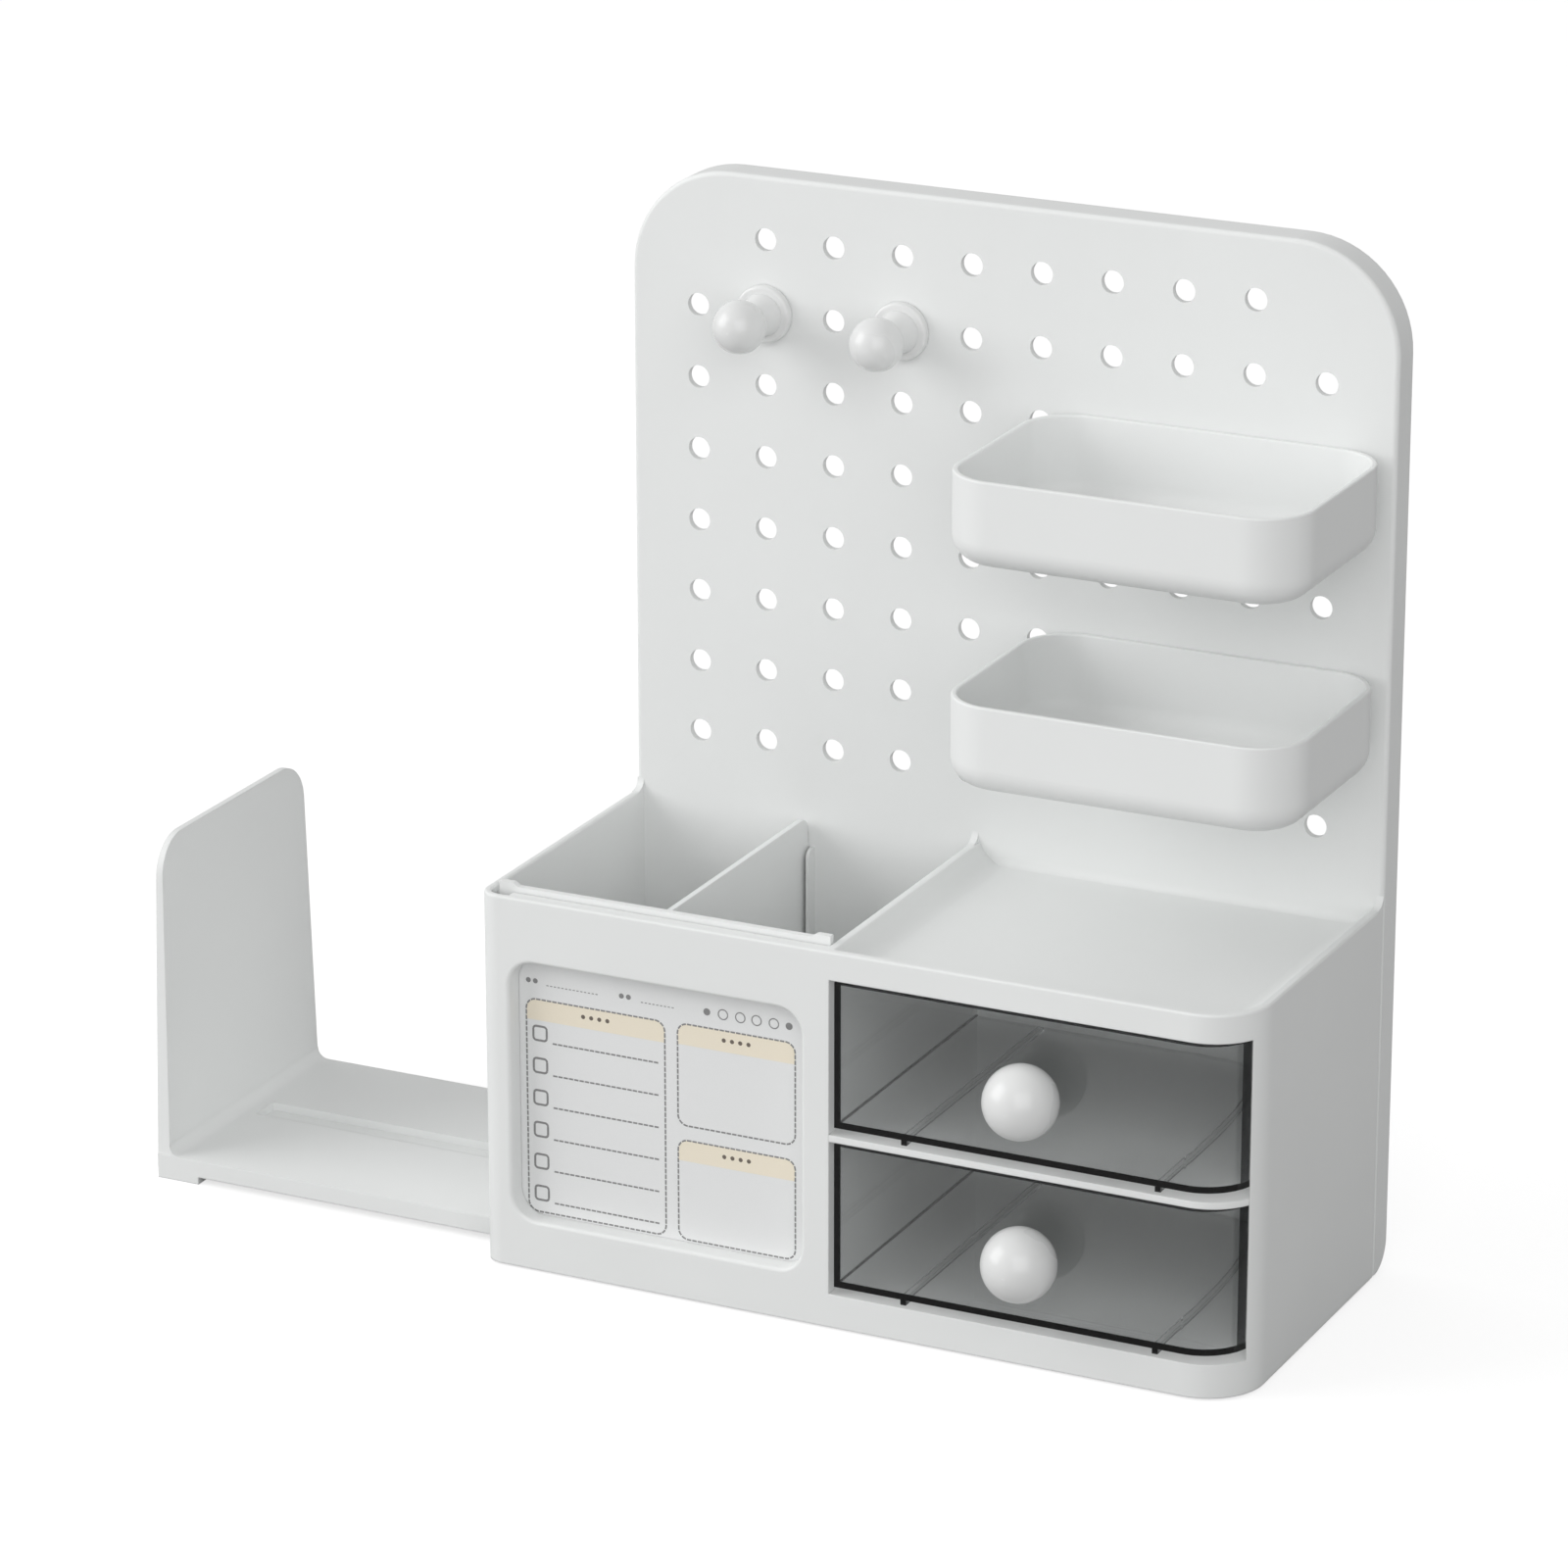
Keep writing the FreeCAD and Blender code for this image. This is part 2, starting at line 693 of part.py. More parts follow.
def pegboard_panel():
    """Perforated board with its rim turned back, which is also the cabinet's back wall."""
    body = new_body("pegboard_panel")
    block(
        body,
        "back_wall",
        ("left_side", "board_front", "foot_lift"),
        ("right_side", "rear", "sweep_top"),
    )
    top_corners = {"high_right": "rim_corner", "high_left": "rim_corner"}
    foot_level = value("foot_lift")
    rear = value("rear")
    round_edges(
        body,
        "heel_rounding",
        "heel_round",
        lambda edge: on_level(edge, "Z", foot_level) and on_level(edge, "Y", rear),
    )
    prism(
        body,
        "board",
        "XZ_Plane",
        ("left_side", "board_front", "sweep_top"),
        rectangle("outer_width", "overall_height - sweep_top", top_corners),
        "rim_depth",
    )
    board_front = value("board_front")
    sweep_top = value("sweep_top")
    round_edges(
        body,
        "board_edge_rounding",
        "board_edge_round",
        lambda edge: on_level(edge, "Y", board_front) and edge.BoundBox.ZMax > sweep_top + SAME_LEVEL,
    )
    inner_corners = dict.fromkeys(top_corners, "rim_corner - wall")
    prism(
        body,
        "rear_recess",
        "XZ_Plane",
        ("inner_left", "board_back", "floor_top"),
        rectangle("inner_right - inner_left", "overall_height - wall - floor_top", inner_corners),
        "rear - board_back",
        cut=True,
    )
    block(
        body,
        "heel_clearance_cut",
        ("inner_left", f"board_front - {OPEN_END}", f"foot_lift - {OPEN_END}"),
        ("inner_right", "heel_front", "floor_under"),
        cut=True,
    )
    block(
        body,
        "heel_slot",
        (f"left_side - {OPEN_END}", f"board_front - {OPEN_END}", f"foot_lift - {OPEN_END}"),
        (f"inner_left + {OPEN_END}", "slot_back", "slot_top"),
        cut=True,
    )
    rib_rise = "divider_rib_top - floor_top"
    rib_stations = [
        ("0", "0"),
        ("divider_rib_reach", "0"),
        ("divider_rib_reach", rib_rise),
        ("divider_rib_corner", rib_rise, "divider_rib_corner"),
        ("0", f"{rib_rise} - divider_rib_corner"),
    ]
    ribs = (
        ("left_divider_rib", "divider_left - divider_rib_gap - divider_rib_wall"),
        ("right_divider_rib", "divider_right + divider_rib_gap"),
    )
    for name, start in ribs:
        at = (start, "board_front - divider_rib_reach", "floor_top")
        prism(body, name, "YZ_Plane", at, rib_stations, "divider_rib_wall")
    perforate(body)
    return body


def perforate(body):
    """Holes of the board: a full grid, and a shorter row on top that leaves the round corners out."""
    at = ("first_column", "board_front", "bottom_row")
    hole = drum(body, "corner_hole", "XZ_Plane", at, "hole_diameter", "board_wall", cut=True)
    across = ("H_Axis", "(hole_columns - 1) * pitch", "hole_columns")
    upwards = ("V_Axis", "(hole_rows - 2) * pitch", "hole_rows - 1")
    row_of(body, "hole_grid", hole, hole.Profile[0], (across, upwards))
    at = ("first_column + pitch", "board_front", "top_row")
    hole = drum(body, "top_hole", "XZ_Plane", at, "hole_diameter", "board_wall", cut=True)
    across = ("H_Axis", "(hole_columns - 3) * pitch", "hole_columns - 2")
    row_of(body, "top_hole_row", hole, hole.Profile[0], (across,))


def middle_shelf():
    """Shelf between the drawers. Its front edge follows the housing's round corner."""
    body = new_body("middle_shelf")
    corner_back = "right_corner - sqrt(right_corner ^ 2 - (right_corner - wall) ^ 2)"
    stations = [
        ("0", "0"),
        ("bay_width + wall - right_corner", "0", "right_corner"),
        ("bay_width", corner_back),
        ("bay_width", "board_front - front"),
        ("0", "board_front - front"),
    ]
    at = ("bay_left", "front", "middle_shelf_under")
    prism(body, "shelf", "XY_Plane", at, stations, "middle_shelf_wall")
    return body


def bottom_cover():
    """Plate under the cabinet that the bookend's base slides on."""
    body = new_body("bottom_cover")
    block(
        body,
        "plate",
        ("cover_left", "cover_front", "cover_under"),
        ("cover_right", "cover_back", "cover_top"),
        corners={"low_right": "right_corner - wall - cover_gap"},
    )
    for number, (across, back) in enumerate(SCREW_PLACES, start=1):
        at = (across, back, "cover_under")
        hole = "cover_screw_diameter + 2 * screw_clearance"
        head = "cover_screw_head + 4 * screw_clearance"
        drum(body, f"screw_hole_{number}", "XY_Plane", at, hole, "cover_wall", cut=True)
        drum(body, f"head_seat_{number}", "XY_Plane", at, head, "cover_wall / 2", cut=True)
    return body


def cylinder(name, diameter, height, at):
    """An upright Part cylinder at a place of the cabinet's frame."""
    piece = doc.addObject("Part::Cylinder", name)
    piece.setExpression("Radius", bind(f"({diameter}) / 2"))
    piece.setExpression("Height", bind(height))
    for axis, place, middle in zip("xyz", at, ("middle_x", "middle_y", "0")):
        piece.setExpression(f"Placement.Base.{axis}", bind(f"{place} - {middle}"))
    return piece


def group(label, pieces):
    """Separate solids kept together as one sub-part."""
    compound = doc.addObject("Part::Compound", label)
    compound.Label = label
    compound.Links = pieces
    return compound


def cover_screws():
    """Screws of the bottom cover: a flat head in its seat and a shank in the boss."""
    screws = []
    shank = "cover_screw_diameter - 2 * screw_clearance"
    for number, (across, back) in enumerate(SCREW_PLACES, start=1):
        head_at = (across, back, "cover_under")
        shank_at = (across, back, "cover_under + cover_wall / 4")
        pieces = [
            cylinder(f"cover_screw_head_{number}", "cover_screw_head", "cover_wall / 2", head_at),
            cylinder(f"cover_screw_shank_{number}", shank, "cover_screw_length", shank_at),
        ]
        screw = doc.addObject("Part::MultiFuse", f"cover_screw_{number}")
        screw.Shapes = pieces
        screws.append(screw)
    return group("cover_screws", screws)


def rubber_feet():
    """Round feet under the bottom cover."""
    inset = "foot_diameter"
    places = (
        (f"cover_left + {inset}", f"cover_front + 1.5 * {inset}"),
        (f"cover_right - {inset}", f"cover_front + 1.5 * {inset}"),
        (f"cover_left + {inset}", f"cover_back - {inset}"),
        (f"cover_right - {inset}", f"cover_back - {inset}"),
    )
    feet = []
    for number, (across, back) in enumerate(places, start=1):
        feet.append(cylinder(f"foot_{number}", "foot_diameter", "cover_under", (across, back, "0")))
    return group("rubber_feet", feet)


def bin_divider():
    """Wall between the two bins, which slides down between the ribs of the back wall."""
    body = new_body("bin_divider")
    depth = "divider_back - divider_front"
    height = "divider_top - divider_bottom"
    at = ("divider_left", "divider_front", "divider_bottom")
    prism(
        body,
        "plate",
        "YZ_Plane",
        at,
        rectangle(depth, height, {"high_right": "divider_corner"}),
        "divider_wall",
    )
    return body


def memo_board():
    """Board behind the window, with a raised nub at each end of its top edge to lift it by."""
    body = new_body("memo_board")
    width = "memo_right - memo_left"
    shoulder = "memo_height - memo_nub_height"
    stations = [
        ("0", "0"),
        (width, "0"),
        (width, "memo_height"),
        (f"{width} - memo_nub_width", "memo_height"),
        (f"{width} - memo_nub_width - memo_nub_ramp", shoulder),
        ("memo_nub_width + memo_nub_ramp", shoulder),
        ("memo_nub_width", "memo_height"),
        ("0", "memo_height"),
    ]
    prism(body, "plate", "XZ_Plane", ("memo_left", "memo_front", "memo_bottom"), stations, "memo_wall")
    return body


def memo_card():
    """Thin planner card on the front of the memo board."""
    body = new_body("memo_card")
    block(
        body,
        "card",
        ("memo_left + card_margin", "card_front", "memo_bottom + card_margin"),
        ("memo_right - card_margin", "memo_front", "memo_bottom + card_margin + card_height"),
    )
    return body


def drawer(label, opening):
    """Clear drawer on two runners. Its front right corner follows the housing's round corner."""
    body = new_body(label, ("bay_left", "front", opening))
    block(
        body,
        "box",
        ("drawer_left", "drawer_front", "drawer_floor_lift"),
        ("drawer_right", "drawer_back", "drawer_top"),
        corners={
            "low_right": "drawer_corner",
            "high_right": "drawer_back_corner",
            "high_left": "drawer_back_corner",
        },
    )
    block(
        body,
        "inside",
        ("drawer_left + drawer_wall", "drawer_front + drawer_wall", "drawer_floor"),
        ("drawer_right - drawer_wall", "drawer_back - drawer_wall", f"drawer_top + {OPEN_END}"),
        cut=True,
        corners={
            "low_right": "drawer_corner - drawer_wall",
            "high_right": "drawer_back_corner - drawer_wall",
            "high_left": "drawer_back_corner - drawer_wall",
        },
    )
    runners = (
        ("left_runner", "drawer_left + left_runner_inset"),
        ("right_runner", "drawer_right - right_runner_inset - runner_wall"),
    )
    for name, start in runners:
        block(
            body,
            name,
            (start, "drawer_front", "seat_gap"),
            (f"{start} + runner_wall", "drawer_back", "drawer_floor_lift"),
        )
    at = ("knob_across", "drawer_front", "knob_up")
    drum(body, "screw_hole", "XZ_Plane", at, "screw_hole", "drawer_wall", cut=True)
    return body


def knob(label, opening):
    """Ball knob with a flat seat and a blind pilot hole."""
    at = ("bay_left + knob_across", "front + drawer_front", f"{opening} + knob_up")
    body = new_body(label, at)
    stations = [
        ("screw_radius", "0"),
        ("screw_radius", "-pilot_depth"),
        ("0", "-pilot_depth"),
        ("0", "-knob_tip", "knob_radius"),
        ("knob_seat_diameter / 2", "0"),
    ]
    revolve(body, "ball", stations)
    return body


def knob_screw(label, opening):
    """Pan-head screw that comes from inside the drawer into the knob."""
    at = ("bay_left + knob_across", "front + drawer_front + drawer_wall", f"{opening} + knob_up")
    body = new_body(label, at)
    shank = "screw_radius - screw_clearance"
    stations = [
        ("0", "-screw_length"),
        (shank, "-screw_length"),
        (shank, "0"),
        ("screw_head_diameter / 2", "0"),
        ("screw_head_diameter / 2", "screw_head_wall / 3"),
        ("screw_head_diameter / 2 - screw_head_wall / 3", "screw_head_wall"),
        ("0", "screw_head_wall"),
    ]
    revolve(body, "turned", stations)
    return body


def tray(label, peg_row):
    """Open tray with two round pegs on its back, placed by the height of its pegs' centres."""
    at = ("tray_centre", "board_front - seat_gap", f"top_row - {peg_row} * pitch")
    body = new_body(label, at)
    corner_names = ("low_left", "low_right", "high_right", "high_left")
    block(
        body,
        "bowl",
        ("-tray_width / 2", "-tray_depth", "tray_bottom"),
        ("tray_width / 2", "0", "tray_rim_above_pegs"),
        corners=dict.fromkeys(corner_names, "tray_corner"),
    )
    block(
        body,
        "inside",
        ("-tray_width / 2 + tray_wall", "-tray_depth + tray_wall", "tray_bottom + tray_wall"),
        ("tray_width / 2 - tray_wall", "-tray_wall", f"tray_rim_above_pegs + {OPEN_END}"),
        cut=True,
        corners=dict.fromkeys(corner_names, "tray_corner - tray_wall"),
    )
    floor = value("tray_bottom + tray_wall")
    inner_round = "tray_foot_round - tray_wall"
    round_edges(body, "floor_rounding", inner_round, lambda edge: on_level(edge, "Z", floor))
    bottom = value("tray_bottom")
    round_edges(body, "foot_rounding", "tray_foot_round", lambda edge: on_level(edge, "Z", bottom))
    rim = value("tray_rim_above_pegs")
    round_edges(body, "rim_rounding", "tray_rim_round", lambda edge: on_level(edge, "Z", rim))
    for name, side in (("left_peg", "-"), ("right_peg", "")):
        peg_at = (f"{side}tray_peg_spread / 2", "0", "0")
        drum(body, name, "XZ_Plane", peg_at, "peg_diameter", "peg_reach")
    end = value("peg_reach")
    round_edges(body, "peg_ends", "peg_chamfer", lambda edge: on_level(edge, "Y", end))
    return body


def hook(label, column):
    """Turned hook: split peg, flange against the board, tapered neck and ball."""
    at = (f"first_column + {column} * pitch", "board_front - seat_gap", "top_row - hook_row * pitch")
    body = new_body(label, at)
    flange_face = "-hook_flange_wall"
    stations = [
        ("0", "-(hook_reach + ball_radius)", "ball_radius"),
        ("neck_tip_radius", "-neck_tip_reach"),
        ("neck_base_radius", flange_face),
        ("flange_radius - hook_flange_round", flange_face, "hook_flange_round"),
        ("flange_radius", f"{flange_face} + hook_flange_round"),
        ("flange_radius", "0"),
        ("peg_radius", "0"),
        ("peg_radius", "peg_reach - peg_chamfer", "peg_chamfer"),
        ("peg_radius - peg_chamfer", "peg_reach"),
        ("0", "peg_reach"),
    ]
    revolve(body, "turned", stations)
    block(
        body,
        "peg_split",
        ("-peg_slot / 2", "seat_gap", f"-peg_radius - {OPEN_END}"),
        ("peg_slot / 2", f"peg_reach + {OPEN_END}", f"peg_radius + {OPEN_END}"),
        cut=True,
    )
    return body


def bookend():
    """L-shaped bookend: an upright thinning towards its top, a hollow base with a stop groove, a foot bar."""
    body = new_body("bookend")
    rise = "bookend_height - bookend_lift"
    corner = "bookend_top_corner"
    front_top = "bookend_front_taper"
    back_top = "bookend_depth - bookend_back_taper"
    upright = [
        ("0", "0"),
        ("bookend_depth", "0"),
        (back_top, f"{rise} - {corner}", corner),
        (f"{back_top} - {corner}", rise),
        (f"{front_top} + {corner}", rise, corner),
        (front_top, f"{rise} - {corner}"),
    ]
    at = ("bookend_outer", "bookend_front", "bookend_lift")
    prism(body, "upright", "YZ_Plane", at, upright, "bookend_root_wall")
    draft = [
        ("0", "0"),
        (OPEN_END, "0"),
        (OPEN_END, "bookend_height - bookend_base_top"),
        ("bookend_wall - bookend_root_wall", "bookend_height - bookend_base_top"),
    ]
    at = ("bookend_inner", "bookend_front", "bookend_base_top")
    prism(body, "upright_draft", "XZ_Plane", at, draft, "bookend_depth", cut=True)
    block(
        body,
        "base",
        ("bookend_outer", "bookend_front", "bookend_lift"),
        ("bookend_end", "bookend_back", "bookend_base_top"),
    )
    bend = [("0", "0"), ("bookend_bend", "0", "-(bookend_bend)"), ("0", "bookend_bend")]
    prism(body, "bend", "XZ_Plane", at, bend, "bookend_depth")
    hollows = (
        ("front_hollow", "bookend_front + bookend_wall", "groove_front - bookend_wall"),
        ("back_hollow", "groove_back + bookend_wall", "bookend_back - bookend_wall"),
    )
    for name, start, end in hollows:
        block(
            body,
            name,
            ("bookend_outer + bookend_foot_length", start, f"bookend_lift - {OPEN_END}"),
            ("bookend_end - bookend_wall", end, "bookend_base_top - bookend_wall"),
            cut=True,
        )
    block(
        body,
        "foot_bar",
        ("bookend_outer", "bookend_front", "0"),
        ("bookend_outer + bookend_foot_length", "bookend_back", "bookend_lift"),
    )
    block(
        body,
        "stop_groove",
        ("bookend_outer + groove_start", "groove_front", "groove_floor"),
        ("groove_end", "groove_back", f"bookend_base_top + {OPEN_END}"),
        cut=True,
    )
    return body


def check(features, sub_parts):
    """Stop if a feature failed, a cut removed nothing, or a sub-part is no valid shape."""
    for feature in features:
        if {"Invalid", "Error"} & set(feature.State):
            raise RuntimeError(f"{feature.Name} failed: {feature.State}")
        if feature.isDerivedFrom("PartDesign::Pocket") and feature.BaseFeature:
            removed = feature.BaseFeature.Shape.Volume - feature.Shape.Volume
            if removed < LEAST_CUT:
                raise RuntimeError(f"{feature.Name} cuts nothing")
    for part in sub_parts:
        if part.Shape.isNull() or not part.Shape.isValid() or not part.Shape.Solids:
            raise RuntimeError(f"{part.Label} has no valid solid")


sub_parts = [
    cabinet_shell(),
    pegboard_panel(),
    middle_shelf(),
    bottom_cover(),
    cover_screws(),
    rubber_feet(),
    bin_divider(),
    memo_board(),
    memo_card(),
    bookend(),
]
for side, opening in (("upper", "upper_opening"), ("lower", "floor_top")):
    sub_parts.append(drawer(f"{side}_drawer", opening))
    sub_parts.append(knob(f"{side}_knob", opening))
    sub_parts.append(knob_screw(f"{side}_knob_screw", opening))
    sub_parts.append(tray(f"{side}_tray", f"{side}_tray_row"))
for side in ("left", "right"):
    sub_parts.append(hook(f"{side}_hook", f"{side}_hook_column"))

doc.recompute()
check(doc.Objects, sub_parts)
os.makedirs(PARTS_FOLDER, exist_ok=True)
for part in sub_parts:
    part.Shape.exportStep(os.path.join(PARTS_FOLDER, f"{part.Label}.step"))
    box = part.Shape.BoundBox
    print(f"{part.Label}: {len(part.Shape.Solids)} solid(s), {part.Shape.Volume:.0f} mm3")
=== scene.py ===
"""Looks of the pegboard desk organizer: finishes of every moulded piece, the printed planner card, the
camera and a plain pale studio. Lengths are metres; MM turns millimetres into metres."""

import math

import bpy
import numpy as np
from mathutils import Matrix, Vector


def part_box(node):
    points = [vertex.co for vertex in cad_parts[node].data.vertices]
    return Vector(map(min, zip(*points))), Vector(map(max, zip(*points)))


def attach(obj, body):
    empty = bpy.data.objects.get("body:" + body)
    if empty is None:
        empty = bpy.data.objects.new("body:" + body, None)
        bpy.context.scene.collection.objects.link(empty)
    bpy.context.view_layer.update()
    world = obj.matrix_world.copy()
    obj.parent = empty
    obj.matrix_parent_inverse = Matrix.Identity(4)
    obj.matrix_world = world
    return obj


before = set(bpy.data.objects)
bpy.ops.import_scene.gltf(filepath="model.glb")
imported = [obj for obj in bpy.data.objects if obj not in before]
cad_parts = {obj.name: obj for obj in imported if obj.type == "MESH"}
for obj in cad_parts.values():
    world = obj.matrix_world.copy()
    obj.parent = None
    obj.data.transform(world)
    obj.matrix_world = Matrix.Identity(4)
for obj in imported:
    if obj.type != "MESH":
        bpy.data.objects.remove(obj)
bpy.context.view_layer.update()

MM = 0.001
CABINET_LOW, CABINET_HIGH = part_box("cabinet_shell")
CABINET_MIDDLE_X = (CABINET_LOW.x + CABINET_HIGH.x) / 2
BOARD_FRONT = CABINET_HIGH.y
NO_SEAM = 9.0  # a plane far from the part


# ---------------------------------------------------------------- shader helpers


def new_group(name, inputs, outputs):
    """A shader node group with named sockets; inputs give (name, kind, default), outputs (name, kind)."""
    group = bpy.data.node_groups.new(name, "ShaderNodeTree")
    for label, kind, default in inputs:
        socket = group.interface.new_socket(label, in_out="INPUT", socket_type=kind)
        socket.default_value = default
    for label, kind in outputs:
        group.interface.new_socket(label, in_out="OUTPUT", socket_type=kind)
    start = group.nodes.new("NodeGroupInput")
    end = group.nodes.new("NodeGroupOutput")
    return group, start, end


def feed(tree, given, socket):
    """Set a node's input to a plain number or colour, or link it to the output that is given."""
    if isinstance(given, (int, float, tuple)):
        socket.default_value = given
    else:
        tree.links.new(given, socket)


def math_node(tree, operation, *given):
    """A Math node whose inputs are sockets or plain numbers."""
    node = tree.nodes.new("ShaderNodeMath")
    node.operation = operation
    for socket, value in zip(node.inputs, given):
        feed(tree, value, socket)
    return node.outputs[0]


def noise(tree, vector, scale, detail=2.0, roughness=0.5):
    """A noise texture over Object coordinates; scale is a number or a socket."""
    node = tree.nodes.new("ShaderNodeTexNoise")
    tree.links.new(vector, node.inputs["Vector"])
    feed(tree, scale, node.inputs["Scale"])
    node.inputs["Detail"].default_value = detail
    node.inputs["Roughness"].default_value = roughness
    return node.outputs["Fac"]


def moulded_grain_group():
    """Surface of an injection moulding: a fine spark-eroded grain, broad mottling and faint flow streaks.
    Height is fine noise, Tone a factor near 1, and Roughness the given value shifted by the same broad
    noise."""
    group, start, end = new_group(
        "moulded_grain",
        [
            ("Grain Scale", "NodeSocketFloat", 2600.0),
            ("Grain Depth", "NodeSocketFloat", 1.0),
            ("Mottle", "NodeSocketFloat", 0.02),
            ("Roughness", "NodeSocketFloat", 0.4),
            ("Roughness Spread", "NodeSocketFloat", 0.05),
        ],
        [("Height", "NodeSocketFloat"), ("Tone", "NodeSocketFloat"), ("Roughness", "NodeSocketFloat")],
    )
    place = group.nodes.new("ShaderNodeTexCoord").outputs["Object"]
    fine = noise(group, place, start.outputs["Grain Scale"], 3.0, 0.6)
    height = math_node(group, "MULTIPLY", fine, start.outputs["Grain Depth"])
    broad = math_node(group, "SUBTRACT", noise(group, place, 16.0, 3.0, 0.55), 0.5)
    streaks = group.nodes.new("ShaderNodeMapping")
    streaks.inputs["Scale"].default_value = (22.0, 22.0, 3.0)
    group.links.new(place, streaks.inputs["Vector"])
    flow = math_node(group, "SUBTRACT", noise(group, streaks.outputs[0], 1.0, 4.0, 0.6), 0.5)
    both = math_node(group, "MULTIPLY_ADD", flow, 0.5, broad)
    tone = math_node(group, "MULTIPLY_ADD", both, start.outputs["Mottle"], 1.0)
    spread = start.outputs["Roughness Spread"]
    rough = math_node(group, "MULTIPLY_ADD", both, spread, start.outputs["Roughness"])
    group.links.new(height, end.inputs["Height"])
    group.links.new(tone, end.inputs["Tone"])
    group.links.new(rough, end.inputs["Roughness"])
    return group


def soft_edge_group():
    """Rounded edges: the normal is that of a small round edge, and Edge is a mask that is
    1 where this normal leans away from the flat face; it marks edges painted lighter, as wear and painted
    highlight. Within Seam Reach of the plane y = Seam the radius falls to nothing, so that two pieces that
    meet there read as one moulding."""
    group, start, end = new_group(
        "soft_edges",
        [
            ("Radius", "NodeSocketFloat", 0.0006),
            ("Seam", "NodeSocketFloat", NO_SEAM),
            ("Seam Reach", "NodeSocketFloat", 0.002),
        ],
        [("Normal", "NodeSocketVector"), ("Edge", "NodeSocketFloat")],
    )
    place = group.nodes.new("ShaderNodeTexCoord").outputs["Object"]
    split = group.nodes.new("ShaderNodeSeparateXYZ")
    group.links.new(place, split.inputs[0])
    away_from_seam = math_node(group, "SUBTRACT", split.outputs["Y"], start.outputs["Seam"])
    away_from_seam = math_node(group, "ABSOLUTE", away_from_seam)
    open_share = math_node(group, "GREATER_THAN", away_from_seam, start.outputs["Seam Reach"])
    bevel = group.nodes.new("ShaderNodeBevel")
    bevel.samples = 6
    radius = math_node(group, "MULTIPLY", start.outputs["Radius"], open_share)
    group.links.new(radius, bevel.inputs["Radius"])
    face = group.nodes.new("ShaderNodeNewGeometry")
    lean = group.nodes.new("ShaderNodeVectorMath")
    lean.operation = "DOT_PRODUCT"
    group.links.new(bevel.outputs["Normal"], lean.inputs[0])
    group.links.new(face.outputs["Normal"], lean.inputs[1])
    away = math_node(group, "SUBTRACT", 1.0, lean.outputs["Value"])
    edge = math_node(group, "MULTIPLY", away, 4.0)
    clamp = group.nodes.new("ShaderNodeClamp")
    group.links.new(edge, clamp.inputs["Value"])
    group.links.new(bevel.outputs["Normal"], end.inputs["Normal"])
    group.links.new(clamp.outputs[0], end.inputs["Edge"])
    return group


def dust_group():
    """Thin dust on faces that look up: a mask from the normal's upward part times a cloudy noise."""
    group, start, end = new_group(
        "resting_dust",
        [("Amount", "NodeSocketFloat", 0.2)],
        [("Mask", "NodeSocketFloat")],
    )
    face = group.nodes.new("ShaderNodeNewGeometry")
    split = group.nodes.new("ShaderNodeSeparateXYZ")
    group.links.new(face.outputs["Normal"], split.inputs[0])
    upward = math_node(group, "MAXIMUM", split.outputs["Z"], 0.0)
    place = group.nodes.new("ShaderNodeTexCoord").outputs["Object"]
    cloud = noise(group, place, 60.0, 5.0, 0.65)
    patchy = math_node(group, "MULTIPLY", upward, cloud)
    mask = math_node(group, "MULTIPLY", patchy, start.outputs["Amount"])
    group.links.new(mask, end.inputs["Mask"])
    return group


GRAIN = moulded_grain_group()
EDGES = soft_edge_group()
DUST = dust_group()


def place_group(tree, group, **settings):
    """Put a node group into a material and set its inputs."""
    node = tree.nodes.new("ShaderNodeGroup")
    node.node_tree = group
    for label, setting in settings.items():
        node.inputs[label.replace("_", " ")].default_value = setting
    return node


def new_material(name):
    """A material with nodes; returns it with its tree and its Principled BSDF."""
    material = bpy.data.materials.new(name)
    material.use_nodes = True
    return material, material.node_tree, material.node_tree.nodes["Principled BSDF"]


def mix_colours(tree, factor, first, second):
    """Blend two colours, each a socket or a tuple of four, by a socket or number."""
    node = tree.nodes.new("ShaderNodeMix")
    node.data_type = "RGBA"
    colours = [socket for socket in node.inputs if socket.type == "RGBA"]
    for socket, given in zip(colours, (first, second)):
        feed(tree, given, socket)
    feed(tree, factor, node.inputs["Factor"])
    return next(socket for socket in node.outputs if socket.type == "RGBA")


def raise_grain(tree, shader, grain, strength, distance, edges=None):
    """Bump the shader's normal by the grain's height, on top of the rounded edges where they are given."""
    bump = tree.nodes.new("ShaderNodeBump")
    bump.inputs["Strength"].default_value = strength
    bump.inputs["Distance"].default_value = distance
    tree.links.new(grain.outputs["Height"], bump.inputs["Height"])
    if edges is not None:
        tree.links.new(edges.outputs["Normal"], bump.inputs["Normal"])
    tree.links.new(bump.outputs["Normal"], shader.inputs["Normal"])


def toned(tree, colour, tone):
    """A colour multiplied by a tone near 1."""
    scale = tree.nodes.new("ShaderNodeVectorMath")
    scale.operation = "SCALE"
    scale.inputs[0].default_value = colour[:3]
    tree.links.new(tone, scale.inputs["Scale"])
    return scale.outputs["Vector"]


# ---------------------------------------------------------------- materials


# edges painted lighter: partly wear, partly painted highlight
HIGHLIGHT_AND_WORN_EDGE = (0.92, 0.92, 0.915, 1)
DUST_COLOUR = (0.76, 0.755, 0.74, 1)
HIGHLIGHT_AND_WEAR_SHARE = 0.35


